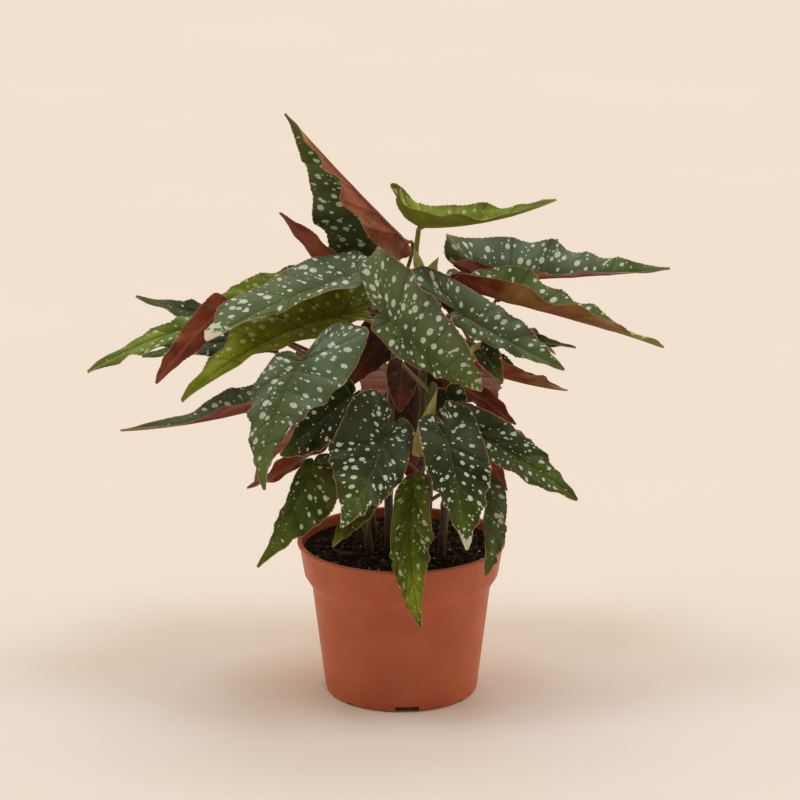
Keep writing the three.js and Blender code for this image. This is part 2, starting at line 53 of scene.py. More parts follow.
# %% Camera
MM = 0.001  # the shapes below are worked out in millimetres, while Blender works in metres
CAMERA_TILT = np.radians(16.2)
CAMERA_DISTANCE = 1800 * MM
CAMERA_AIM = Vector((-0.75, 0, 173.2)) * MM
LENS = 142.25
SENSOR_WIDTH = 36
FARTHEST_SEEN = 50  # metres


def add_object(name, data):
    """A new object at the origin, linked into the scene."""
    added = bpy.data.objects.new(name, data)
    bpy.context.scene.collection.objects.link(added)
    return added


camera_data = bpy.data.cameras.new("camera")
camera_data.lens = LENS
camera_data.sensor_width = SENSOR_WIDTH
camera_data.clip_end = FARTHEST_SEEN
camera = add_object("camera", camera_data)
backwards = Vector((0, -np.cos(CAMERA_TILT), np.sin(CAMERA_TILT)))
camera.location = CAMERA_AIM + CAMERA_DISTANCE * backwards
camera.rotation_euler = (np.pi / 2 - CAMERA_TILT, 0, 0)
bpy.context.scene.camera = camera
print("camera at", tuple(round(v, 3) for v in camera.location), "metres")

# %% [markdown]
# ## A short way to write shader nodes
# The world and the finishes are trees of nodes. Written out in full, each node takes several
# lines, so a small class makes a node, fills its inputs with numbers or links, and returns its
# output. A value that is the same all over a piece goes straight onto the Principled shader's
# own socket. Most finishes need the same few steps: a cloud of noise, a mix of two colours, a
# stain over what is there, and a relief.

# %% Helper for nodes
class Nodes:
    """A tree of shader nodes, and methods that each add one node."""

    def __init__(self, tree):
        self.tree = tree

    def put(self, socket, value):
        """A link where value is an output, and a number or colour where it isn't."""
        if isinstance(value, bpy.types.NodeSocket):
            self.tree.links.new(value, socket)
        elif hasattr(value, "__len__") and len(value) == 3 and len(socket.default_value) == 4:
            socket.default_value = (*value, 1)
        else:
            socket.default_value = value

    def node(self, kind, *inputs, output=0, **settings):
        """One output of a new node. Its inputs come in order, and None leaves one as it is."""
        node = self.tree.nodes.new("ShaderNode" + kind)
        for key, value in settings.items():
            setattr(node, key, value)
        for socket, value in zip(node.inputs, inputs):
            if value is not None:
                self.put(socket, value)
        return node.outputs[output]

    def math(self, operation, *inputs):
        return self.node("Math", *inputs, operation=operation)

    def ramp(self, value, low, high, start=0.0, end=1.0):
        """start below low, end above high, and a smooth step between them."""
        return self.node("MapRange", value, low, high, start, end, interpolation_type="SMOOTHSTEP")

    def parts(self, vector):
        """The three numbers of a vector."""
        return self.node("SeparateXYZ", vector).node.outputs


print("node helper ready")

# %% Helper for finishes
class Finish(Nodes):
    """A material with a Principled shader. Its sockets can be set by name, with _ for a space."""

    def __init__(self, name, **sockets):
        self.material = bpy.data.materials.new(name)
        self.material.use_nodes = True
        super().__init__(self.material.node_tree)
        self.shader = self.tree.nodes["Principled BSDF"]
        for socket, value in sockets.items():
            self.paint(socket.replace("_", " "), value)

    def paint(self, socket, value):
        self.put(self.shader.inputs[socket], value)

    def attribute(self, name):
        """The three numbers that the mesh has under a name."""
        return self.parts(self.node("Attribute", output=1, attribute_name=name))

    def place(self, stretch=(1, 1, 1)):
        """The point in the object's own frame, in metres, times stretch."""
        here = self.node("TexCoord", output=3)
        return self.node("VectorMath", here, stretch, operation="MULTIPLY")

    def noise(self, scale, detail):
        """A soft random value round 0.5, with scale features in a metre: one number, or three."""
        if isinstance(scale, tuple):
            return self.node("TexNoise", self.place(scale), None, 1, detail)
        return self.node("TexNoise", self.place(), None, scale, detail)

    def cloud(self, scale, detail, low, high, start=0.0, end=1.0):
        """Noise with more contrast: start where it is below low, end where it is above high."""
        return self.ramp(self.noise(scale, detail), low, high, start, end)

    def mix(self, factor, first, second):
        """first where factor is 0, second where it is 1."""
        node = self.tree.nodes.new("ShaderNodeMix")
        node.data_type = "RGBA"
        for key, value in ((0, factor), (6, first), (7, second)):
            self.put(node.inputs[key], value)
        return node.outputs[2]

    def stain(self, base, mask, share, colour):
        """The base, with that share of a colour over it where mask is 1."""
        return self.mix(self.math("MULTIPLY", mask, share), base, colour)

    def bump(self, height, distance, strength):
        """Relief on the shader's normal: height times distance, in metres."""
        node = self.tree.nodes.new("ShaderNodeBump")
        node.inputs["Strength"].default_value = strength
        node.inputs["Distance"].default_value = distance
        self.tree.links.new(height, node.inputs["Height"])
        self.tree.links.new(node.outputs[0], self.shader.inputs["Normal"])


def two_tone(name, roughness, cloud, first, second, relief=None):
    """A finish of two colours mixed by a cloud, and a relief (scale, detail, distance,
    strength) made of noise."""
    finish = Finish(name, Roughness=roughness)
    finish.paint("Base Color", finish.mix(finish.cloud(*cloud), first, second))
    if relief:
        finish.bump(finish.noise(*relief[:2]), *relief[2:])
    return finish


print("finish helper ready")

# %% [markdown]
# ## Light
# The photograph has the light of a small studio. Three soft pools of shadow on the floor, to
# the left, to the right and in front, tell of three soft boxes: one on each side and a little
# in front, and one above and behind, all standing high. The shadows are warmer than
# the lit paper, so the boxes are cooler than the light that fills in. Sun lamps light every
# place alike, and their angle sets how soft the shadows are, so three of them stand for the
# boxes. A warm world fills in, brighter above and behind, and at both sides, where it gives
# the pot its light edges. The "Standard" view keeps colours as they are.

# %% Light
# The way to each lamp, the angle it is seen under in degrees, and its strength.
LAMPS = {
    "softbox_left": ((-0.38, -0.12, 0.92), 20, 0.84),
    "softbox_right": ((0.38, -0.12, 0.92), 20, 0.84),
    "softbox_top": ((0.04, 0.44, 0.90), 26, 0.64),
}
LAMP_WHITE = (0.70, 0.79, 1.0)
WARM_WHITE = (1, 0.78, 0.45)
# How far a direction goes that way, from and to, and the world's strength at those two.
WORLD_BEHIND = (-0.3, 0.9, 0.09, 0.78)
WORLD_SIDES = (0.55, 0.85, 0.0, 0.68)

for name, (towards, angle, strength) in LAMPS.items():
    lamp_data = bpy.data.lights.new(name, "SUN")
    lamp_data.angle = np.radians(angle)
    lamp_data.energy = strength
    lamp_data.color = LAMP_WHITE
    lamp = add_object(name, lamp_data)
    lamp.location = towards
    lamp.rotation_euler = Vector(towards).to_track_quat("Z", "Y").to_euler()

world = bpy.data.worlds.new("studio")
world.use_nodes = True
sky = Nodes(world.node_tree)
direction = sky.node("TexCoord")
behind = sky.node("VectorMath", direction, (0, 1, 0.8), output=1, operation="DOT_PRODUCT")
behind = sky.node("MapRange", behind, *WORLD_BEHIND)
sides = sky.node("MapRange", sky.math("ABSOLUTE", sky.parts(direction)[0]), *WORLD_SIDES)
background = world.node_tree.nodes["Background"]
sky.put(background.inputs["Color"], WARM_WHITE)
sky.put(background.inputs["Strength"], sky.math("ADD", behind, sides))
bpy.context.scene.world = world
bpy.context.scene.view_settings.view_transform = "Standard"
print("lamps:", ", ".join(LAMPS))

# %% [markdown]
# ## From arrays to meshes
# Every surface below is worked out by numpy as a grid of points. A mesh could be made point by
# point, but whole arrays are faster and keep the formula in sight. These helpers do the rest:
# they number the faces of a grid, join shells into one mesh, and hand points, faces and the
# values at the points over to Blender.

# %% Helpers for arrays
def unit(vectors):
    """Each vector divided by its own length."""
    length = np.linalg.norm(vectors, axis=-1, keepdims=True)
    return vectors / np.maximum(length, 1e-12)


def smooth(low, high, value):
    """0 below low, 1 above high, and 3u^2 - 2u^3 between them."""
    u = np.clip((value - low) / (high - low), 0, 1)
    return u * u * (3 - 2 * u)


def bell(value, width):
    """1 at 0 and less to both sides: exp(-(value / width)^2)."""
    return np.exp(-((value / width) ** 2))


def full_turn(count):
    """count angles, evenly spaced round a circle."""
    return np.linspace(0, 2 * np.pi, count, endpoint=False)


def grid_faces(index):
    """Two triangles for each cell of a grid of point numbers. A cell that shares a point with
    itself, as at a pole, keeps only the triangle that has an area."""
    a, b, c, d = index[:-1, :-1], index[:-1, 1:], index[1:, 1:], index[1:, :-1]
    halves = [np.stack(corners, -1).reshape(-1, 3) for corners in ((a, b, c), (a, c, d))]
    faces = np.concatenate(halves)
    return faces[~(faces == np.roll(faces, 1, axis=1)).any(axis=1)]


def closed_grid(rings):
    """A grid of rings as a closed shell: each end ring is drawn together at its own middle,
    and the faces point outwards, which the sign of the shell's volume tells."""
    rows, columns = rings.shape[:2]
    start, end = rings[0].mean(0)[None], rings[-1].mean(0)[None]
    points = np.concatenate([start, rings.reshape(-1, 3), end])
    index = np.arange(rows * columns).reshape(rows, columns) + 1
    index = np.concatenate([index, index[:, :1]], axis=1)
    ends = np.zeros((1, columns + 1), int)
    faces = grid_faces(np.concatenate([ends, index, ends + len(points) - 1]))
    p, q, r = (points[faces[:, k]] - points[0] for k in range(3))
    volume = (p * np.cross(q, r)).sum()
    return points, faces if volume > 0 else faces[:, ::-1]


def join(shells):
    """Several (points, faces) pairs as one pair, with the faces renumbered."""
    starts = np.cumsum([0] + [len(points) for points, _ in shells[:-1]])
    points = np.concatenate([points for points, _ in shells])
    return points, np.concatenate([faces + start for (_, faces), start in zip(shells, starts)])


print("array helpers ready")

# %% Helper for pieces
def add_piece(
    name, points, faces, finishes, slot, node=None, values=None, uv=None, kinds=None, sharp=40,
):
    """A mesh object at the origin, riding on the only body, from points in millimetres.

    values are vectors at the points by attribute name, uv is a pair at each point, and kinds
    is each face's finish by number. An edge that turns by more than sharp degrees stays crisp."""
    mesh = bpy.data.meshes.new(name)
    mesh.vertices.add(len(points))
    mesh.vertices.foreach_set("co", (points * MM).astype(np.float32).ravel())
    mesh.loops.add(faces.size)
    mesh.loops.foreach_set("vertex_index", faces.astype(np.int32).ravel())
    mesh.polygons.add(len(faces))
    mesh.polygons.foreach_set("loop_start", np.arange(len(faces), dtype=np.int32) * faces.shape[1])
    mesh.update(calc_edges=True)
    for finish in finishes:
        mesh.materials.append(finish.material)
    if kinds is not None:
        mesh.polygons.foreach_set("material_index", kinds.astype(np.int32))
    for key, vectors in (values or {}).items():
        attribute = mesh.attributes.new(key, "FLOAT_VECTOR", "POINT")
        attribute.data.foreach_set("vector", vectors.astype(np.float32).ravel())
    if uv is not None:
        layer = mesh.uv_layers.new(name="veins")
        layer.data.foreach_set("uv", uv[faces.ravel()].astype(np.float32).ravel())
    mesh.polygons.foreach_set("use_smooth", np.ones(len(faces), bool))
    mesh.set_sharp_from_angle(angle=np.radians(sharp))
    piece = add_object(name, mesh)
    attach(piece, "root")
    if node:
        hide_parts(node)
    return piece


print("piece helper ready")

# %% [markdown]
# ## Floor
# The plant stands on a plain pale surface that runs on behind it without an edge. One large
# flat square is enough, because the camera looks down even at the top of the picture. A very
# faint cloud in its colour keeps it from looking like nothing at all.

# %% Floor
FLOOR = 40  # half its width in metres
paper_sheet = two_tone(
    "pale_paper", 0.85, (3, 3, 0.3, 0.7), (0.770, 0.705, 0.635), (0.780, 0.715, 0.650)
)
paper_sheet.paint("Specular IOR Level", 0.15)
floor_corners = [(-FLOOR, -FLOOR, 0), (FLOOR, -FLOOR, 0), (FLOOR, FLOOR, 0), (-FLOOR, FLOOR, 0)]
floor_mesh = bpy.data.meshes.new("floor")
floor_mesh.from_pydata(floor_corners, [], [(0, 1, 2, 3)])
floor_mesh.materials.append(paper_sheet.material)
floor = add_object("floor", floor_mesh)
print("floor:", 2 * FLOOR, "by", 2 * FLOOR, "metres")

# %% [markdown]
# ## Pot
# The pot is injection-moulded plastic, thin and a little glossy, in the colour of fired clay.
# It has a lip, a tapered band by which pots are pulled apart, and a body that narrows to the
# foot. A profile turned round the axis gives all of it but the drain channels in the foot.
# Those are cut out afterwards with a Boolean modifier, which gives their straight walls.

# %% Pot profile
POT_HEIGHT = 90
RIM_RADIUS = 60
LIP_HEIGHT = 2
BAND_TOP, BAND_FOOT, BAND_HEIGHT = 58.8, 56, 19.5
STEP_HEIGHT = 7
BODY_TOP, BODY_FOOT = 51.6, 44
WALL = 1.5
POT_FLOOR = 4.5
FLAT_RADIUS = 20  # the middle of the foot, which the profile leaves to its closed ends
BEVEL, BEVEL_HEIGHT = 0.3, 1.2
EDGE_RADIUS = 0.7
POT_SHARP = 32  # degrees
lip_foot = POT_HEIGHT - LIP_HEIGHT
band_foot = POT_HEIGHT - BAND_HEIGHT
body_top = band_foot - STEP_HEIGHT


def body_radius(z):
    """The outside of the body: a straight line from the foot to the step under the band."""
    return BODY_FOOT + (BODY_TOP - BODY_FOOT) * z / body_top


def inside_radius(z):
    """The outside radius at that height less the wall, piece by straight piece."""
    heights = [0, body_top, band_foot, POT_HEIGHT]
    return np.interp(z, heights, [BODY_FOOT, BODY_TOP, BAND_FOOT, BAND_TOP]) - WALL


def rounded(corners, radius, steps=4):
    """A polyline with each inner corner turned into a quadratic curve from a point before it
    to a point after it, at most radius away and never past the middle of a side."""
    corners = np.array(corners, float)
    lengths = np.linalg.norm(np.diff(corners, axis=0), axis=1)
    inner = corners[1:-1]
    before = np.minimum(radius, lengths[:-1] / 2)[:, None]
    after = np.minimum(radius, lengths[1:] / 2)[:, None]
    start = inner + unit(corners[:-2] - inner) * before
    end = inner + unit(corners[2:] - inner) * after
    u = np.linspace(0, 1, steps + 1)[:, None, None]
    arcs = (1 - u) ** 2 * start + 2 * u * (1 - u) * inner + u**2 * end
    return np.concatenate([corners[:1], arcs.transpose(1, 0, 2).reshape(-1, 2), corners[-1:]])


pot_profile = rounded([
    (FLAT_RADIUS, 0), (BODY_FOOT - BEVEL, 0), (body_radius(BEVEL_HEIGHT), BEVEL_HEIGHT),
    (BODY_TOP, body_top), (BAND_FOOT, band_foot), (BAND_TOP, lip_foot), (RIM_RADIUS, lip_foot),
    (RIM_RADIUS, POT_HEIGHT), (inside_radius(POT_HEIGHT), POT_HEIGHT),
    (inside_radius(band_foot), band_foot), (inside_radius(body_top), body_top),
    (inside_radius(POT_FLOOR), POT_FLOOR), (FLAT_RADIUS, POT_FLOOR),
], EDGE_RADIUS)
print("pot profile:", len(pot_profile), "points, widest", pot_profile[:, 0].max(), "mm")

# %% Pot finish
clay = Finish("clay_coloured_plastic", Roughness=0.5, Specular_IOR_Level=0.42)
base = clay.mix(clay.cloud(38, 4, 0.3, 0.7), (0.462, 0.093, 0.035), (0.517, 0.117, 0.046))
streak = clay.cloud((90, 90, 14), 3, 0.35, 0.75)
base = clay.stain(base, streak, 0.22, (0.46, 0.155, 0.08))
dust = clay.cloud(900, 2, 0.66, 0.74)
base = clay.stain(base, dust, 0.25, (0.5, 0.28, 0.19))
near_foot = clay.ramp(clay.parts(clay.place())[2], 0.014, 0.004)
scuff = clay.math("MULTIPLY", clay.cloud(260, 3, 0.6, 0.66), near_foot)
clay.paint("Base Color", clay.stain(base, scuff, 0.5, (0.2, 0.07, 0.04)))
clay.paint("Roughness", clay.cloud(120, 3, 0.3, 0.7, 0.42, 0.56))
clay.bump(clay.noise(1400, 2), 0.00003, 0.5)
print("finish:", clay.material.name)

# %% Pot mesh
POT_COLUMNS = 192
LONGEST_SIDE = 6


def turned(profile, columns):
    """(r cos a, r sin a, z) for each (r, z) of a profile and each angle a round the axis."""
    angle = full_turn(columns)
    r, z = profile[:, :1], profile[:, 1:]
    return np.stack([r * np.cos(angle), r * np.sin(angle), z + 0 * angle], -1)


def filled(profile, longest):
    """The profile with points added, so that no side is longer than longest."""
    lengths = np.linalg.norm(np.diff(profile, axis=0), axis=1)
    travel = np.concatenate([[0], np.cumsum(lengths)])
    stops = np.unique(np.concatenate([travel, np.arange(0, travel[-1], longest)]))
    stops = stops[np.concatenate([[True], np.diff(stops) > 0.02])]
    return np.stack([np.interp(stops, travel, profile[:, k]) for k in range(2)], -1)


pot_points, pot_faces = closed_grid(turned(filled(pot_profile, LONGEST_SIDE), POT_COLUMNS))
pot = add_piece("pot_moulded", pot_points, pot_faces, [clay], "pot", "pot", sharp=POT_SHARP)
print("pot:", len(pot_faces), "triangles before its foot is cut")

# %% Drain channels, slots and holes
CHANNEL_TURN = 4.3 - 90  # degrees from +X to the first channel
CHANNEL_WIDTH, CHANNEL_HEIGHT = 13.7, 3.3
PAD_RADIUS = 16
HOLE_RADIUS, HOLE_AT = 4, 30
SLOT_WIDTH, SLOT_HEIGHT, SLOT_DEPTH = 6, 1.1, 2.5
UNDER, OUTSIDE = -5, 70  # the cutters reach below the foot and past the wall
HOLE_CUT = (2, 9)


def prism(outline, bottom, top, turn):
    """An outline of (x, y) points between two heights, turned round the axis by degrees."""
    angle = np.radians(turn)
    rotation = np.array([[np.cos(angle), np.sin(angle)], [-np.sin(angle), np.cos(angle)]])
    flat = np.array(outline, float) @ rotation
    levels = [np.column_stack([flat, np.full(len(flat), z)]) for z in (bottom, top)]
    return closed_grid(np.array(levels))


def box_outline(near, far, width):
    """A rectangle along +X."""
    return [(near, -width / 2), (far, -width / 2), (far, width / 2), (near, width / 2)]


circle = full_turn(28)
hole = np.stack([HOLE_AT + HOLE_RADIUS * np.cos(circle), HOLE_RADIUS * np.sin(circle)], -1)
channel = box_outline(PAD_RADIUS, OUTSIDE, CHANNEL_WIDTH)
slot = box_outline(BODY_FOOT - SLOT_DEPTH, OUTSIDE, SLOT_WIDTH)
cutters = []
for quarter in range(4):
    turn = CHANNEL_TURN + 90 * quarter
    cutters.append(prism(channel, UNDER, CHANNEL_HEIGHT, turn))
    cutters.append(prism(slot, UNDER, SLOT_HEIGHT, turn + 45))
    cutters.append(prism(hole, *HOLE_CUT, turn))

cut_points, cut_faces = join(cutters)
cut_mesh = bpy.data.meshes.new("cutters")
cut_mesh.from_pydata((cut_points * MM).tolist(), [], cut_faces.tolist())
cutter = add_object("cutters", cut_mesh)
cut = pot.modifiers.new("drains", "BOOLEAN")
cut.object = cutter
cut.operation = "DIFFERENCE"
cut.use_self = True
evaluated = pot.evaluated_get(bpy.context.evaluated_depsgraph_get())
cut_result = bpy.data.meshes.new_from_object(evaluated)
pot.modifiers.clear()
pot.data = cut_result
pot.data.set_sharp_from_angle(angle=np.radians(POT_SHARP))
bpy.data.objects.remove(cutter)
print("pot:", len(pot.data.polygons), "faces with its drains")

# %% [markdown]
# ## Soil
# The potting mix is dark and moist, of fine peat with bark chips, white perlite and fibres. The
# fine part is one surface over a disc: its height is a gentle crown with lumps at several
# sizes. What is big enough to see by itself is made as small bodies that lie in the surface.

# %% Soil surface
SOIL_TOP = 84.5
SOIL_CROWN = 2.0
SOIL_LUMPS = 1.1
SOIL_ROWS, SOIL_COLUMNS = 72, 220
WAVES = 40
CLEARANCE = 0.3
random = np.random.default_rng(7)
soil_edge = inside_radius(SOIL_TOP) - CLEARANCE
wave_turns = random.uniform(0, 2 * np.pi, WAVES)
wave_phases = random.uniform(0, 2 * np.pi, WAVES)
wave_rates = np.geomspace(0.35, 3.2, WAVES)


def soil_height(x, y):
    """The crown, plus two long waves, plus forty short waves in all directions whose height
    falls as they get finer. All of it fades to nothing at the pot's wall."""
    r = np.minimum(np.hypot(x, y) / soil_edge, 1)
    lump = np.sin(0.31 * x + 1.3) * np.cos(0.27 * y) + 0.6 * np.sin(0.55 * (x + y))
    across = x[..., None] * np.cos(wave_turns) + y[..., None] * np.sin(wave_turns)
    fine = (np.sin(wave_rates * across + wave_phases) * 0.16 / wave_rates**0.6).sum(-1)
    fade = 1 - smooth(0.93, 1, r)
    return SOIL_TOP + SOIL_CROWN * (1 - r * r) + SOIL_LUMPS * lump * (1 - r) + (fine - 0.2) * fade


soil_radii = np.linspace(0.5, soil_edge, SOIL_ROWS)
soil_top = turned(np.stack([soil_radii, soil_radii * 0], -1), SOIL_COLUMNS)
soil_top[..., 2] = soil_height(soil_top[..., 0], soil_top[..., 1])
soil_heights = np.array([SOIL_TOP - 1, band_foot, body_top, POT_FLOOR + CLEARANCE])
soil_wall = np.stack([inside_radius(soil_heights) - CLEARANCE, soil_heights], -1)
soil_rings = np.concatenate([soil_top, turned(soil_wall, SOIL_COLUMNS)])
soil_points, soil_faces = closed_grid(soil_rings)

peat = Finish("moist_peat", Roughness=0.92, Specular_IOR_Level=0.25)
earth = peat.mix(peat.cloud(700, 5, 0.35, 0.7), (0.004, 0.0025, 0.0018), (0.022, 0.012, 0.007))
rusty = peat.cloud(420, 4, 0.62, 0.72)
peat.paint("Base Color", peat.stain(earth, rusty, 0.5, (0.06, 0.028, 0.014)))
peat.bump(peat.noise(900, 5), 0.0012, 0.9)
add_piece("peat", soil_points, soil_faces, [peat], "soil", "soil", sharp=80)
print("soil:", len(soil_faces), "triangles, highest", round(soil_points[:, 2].max(), 1), "mm")

# %% Bark chips and perlite
GOLD = (1 + 5**0.5) / 2
BARK_COUNT, PERLITE_COUNT = 340, 46
WALL_GAP = 3.5
ICO_RADIUS = 1.9
PRESSED = 0.6  # height of a turned chip by its own
corner_signs = np.array([(-1, 1), (1, 1), (-1, -1), (1, -1)])
rectangle = np.column_stack([corner_signs, np.zeros(4)]) * (1, GOLD, 0)
ico_points = np.concatenate([np.roll(rectangle, k, axis=1) for k in range(3)])
edge_long = abs(np.linalg.norm(ico_points[:, None] - ico_points, axis=-1) - 2) < 0.01
ico_faces = np.array([
    (a, b, c) for a in range(12) for b in range(a) for c in range(b)
    if edge_long[a, b] and edge_long[b, c] and edge_long[c, a]
])
p, q, r = (ico_points[ico_faces[:, k]] for k in range(3))
inwards = (np.cross(q - p, r - p) * p).sum(-1) < 0
ico_faces[inwards] = ico_faces[inwards][:, ::-1]


def turns(count):
    """count random rotations, from unit quaternions (w, x, y, z)."""
    w, x, y, z = unit(random.normal(size=(count, 4))).T
    return np.stack([
        np.stack([1 - 2 * (y * y + z * z), 2 * (x * y - z * w), 2 * (x * z + y * w)], -1),
        np.stack([2 * (x * y + z * w), 1 - 2 * (x * x + z * z), 2 * (y * z - x * w)], -1),
        np.stack([2 * (x * z - y * w), 2 * (y * z + x * w), 1 - 2 * (x * x + y * y)], -1),
    ], -2)


def scattered(count, sizes, sink):
    """Icosahedra of those half sizes with uneven corners, each turned at random, pressed flatter
    and laid on the soil, sunk by a share of its smallest size, clear of the pot's wall."""
    angle = random.uniform(0, 2 * np.pi, count)
    r = (soil_edge - WALL_GAP) * np.sqrt(random.uniform(0, 1, count))
    x, y = r * np.cos(angle), r * np.sin(angle)
    scale = np.array(sizes) * random.uniform(0.5, 1.0, (count, 3))
    shape = ico_points * random.uniform(0.75, 1.15, (count, 12, 1)) / ICO_RADIUS * scale[:, None]
    turned_shape = np.einsum("nij,nkj->nki", turns(count), shape)
    turned_shape[..., 2] *= PRESSED
    middle = np.stack([x, y, soil_height(x, y) + 0.3 - sink * scale.min(1)], -1)
    points = (turned_shape + middle[:, None]).reshape(-1, 3)
    faces = (ico_faces[None] + 12 * np.arange(count)[:, None, None]).reshape(-1, 3)
    return points, faces


bark = two_tone(
    "bark_chips", 0.85, (160, 1, 0.35, 0.65), (0.012, 0.007, 0.004), (0.085, 0.042, 0.02),
    (1500, 4, 0.0004, 0.8),
)
add_piece("bark_chips", *scattered(BARK_COUNT, (3.4, 1.9, 1.0), 0.3), [bark], "soil", sharp=25)

perlite = two_tone(
    "perlite", 0.8, (300, 2, 0.3, 0.7), (0.42, 0.37, 0.3), (0.75, 0.71, 0.63),
    (2500, 3, 0.0003, 0.8),
)
add_piece("perlite", *scattered(PERLITE_COUNT, (1.3, 1.1, 0.9), 0.1), [perlite], "soil", sharp=60)
print("bark:", BARK_COUNT, "chips, perlite:", PERLITE_COUNT, "grains")

# %% [markdown]
# ## Tubes
# Fibres, petioles and canes are all tubes: a circle carried along a path, with a radius that
# may change on the way. The paths are curves through or towards a few points, and the circle
# is held by two directions square to the path, of which one stays level with the ground.

# %% Curves and tubes
def through(points, count):
    """A curve through the points: between two of them, the cubic whose slope at each end is
    half the step between that end's neighbours. count points, evenly spaced in the number."""
    points = np.array(points, float)
    wide = np.concatenate([[2 * points[0] - points[1]], points, [2 * points[-1] - points[-2]]])
    place = np.linspace(0, len(points) - 1, count)
    k = np.minimum(place.astype(int), len(points) - 2)
    w = (place - k)[:, None]
    a, b, c, d = (wide[k + i] for i in range(4))
    slopes = (w**3 - 2 * w**2 + w) * (c - a) / 2 + (w**3 - w**2) * (d - b) / 2
    return slopes + (2 * w**3 - 3 * w**2 + 1) * b + (3 * w**2 - 2 * w**3) * c


def bezier(a, b, c, d, t):
    """The cubic Bezier curve of four points, or of one coordinate of them."""
    u = 1 - t
    return a * u**3 + 3 * b * u * u * t + 3 * c * u * t * t + d * t**3


def tube(path, radius, sides, across):
    """path + radius (p cos a + q sin a), with p and q square to the path's direction, and p
    square to across as well."""
    direction = unit(np.gradient(path, axis=0))
    p = unit(np.cross(direction, across))
    q = np.cross(direction, p)
    a = full_turn(sides)[:, None]
    radius = np.broadcast_to(radius, len(path))[:, None, None]
    return closed_grid(path[:, None] + radius * (p[:, None] * np.cos(a) + q[:, None] * np.sin(a)))


print("curve helpers ready")

# %% Fibres
FIBRES = 90


def fibre(middle, turn, length, bow, radius):
    """A thin bent tube that lies on the soil through a middle point."""
    u = np.linspace(-1, 1, 7)
    x = middle[0] + length / 2 * u * np.cos(turn) - bow * (1 - u * u) * np.sin(turn)
    y = middle[1] + length / 2 * u * np.sin(turn) + bow * (1 - u * u) * np.cos(turn)
    z = soil_height(x, y) + radius + 0.3 + 0.5 * bow * (1 - u * u)
    return tube(np.stack([x, y, z], -1), radius * (1 - 0.6 * u * u), 5, (0, 0, 1))


fibre_rows = zip(
    random.uniform(-34, 34, (FIBRES, 2)), random.uniform(0, np.pi, FIBRES),
    random.uniform(5, 14, FIBRES), random.uniform(-1.5, 1.5, FIBRES),
    random.uniform(0.15, 0.4, FIBRES),
)
fibres = two_tone(
    "fibres", 0.8, (60, 1, 0.35, 0.65), (0.03, 0.016, 0.008), (0.14, 0.08, 0.04),
    ((3000, 400, 3000), 2, 0.0001, 0.6),
)
add_piece("fibres", *join([fibre(*row) for row in fibre_rows]), [fibres], "soil")

straw = two_tone("straw", 0.6, (400, 2, 0.3, 0.7), (0.42, 0.3, 0.15), (0.6, 0.46, 0.26))
add_piece("straw", *fibre((-37, -38), -0.75, 10, 0.6, 0.6), [straw], "soil")
print("fibres:", FIBRES, "and one straw")

# %% [markdown]
# ## Leaf blades: where they are
# A begonia's blade is lopsided: each half has a width, a widest place and a basal lobe of its
# own. So a leaf is written as one row: the foot and tip of its midrib, the way that its upper
# face looks, its two halves, and what sets it apart. All 47 rows are the ones that the plain
# solids were made from, so the fine blades lie where the plain ones lay.

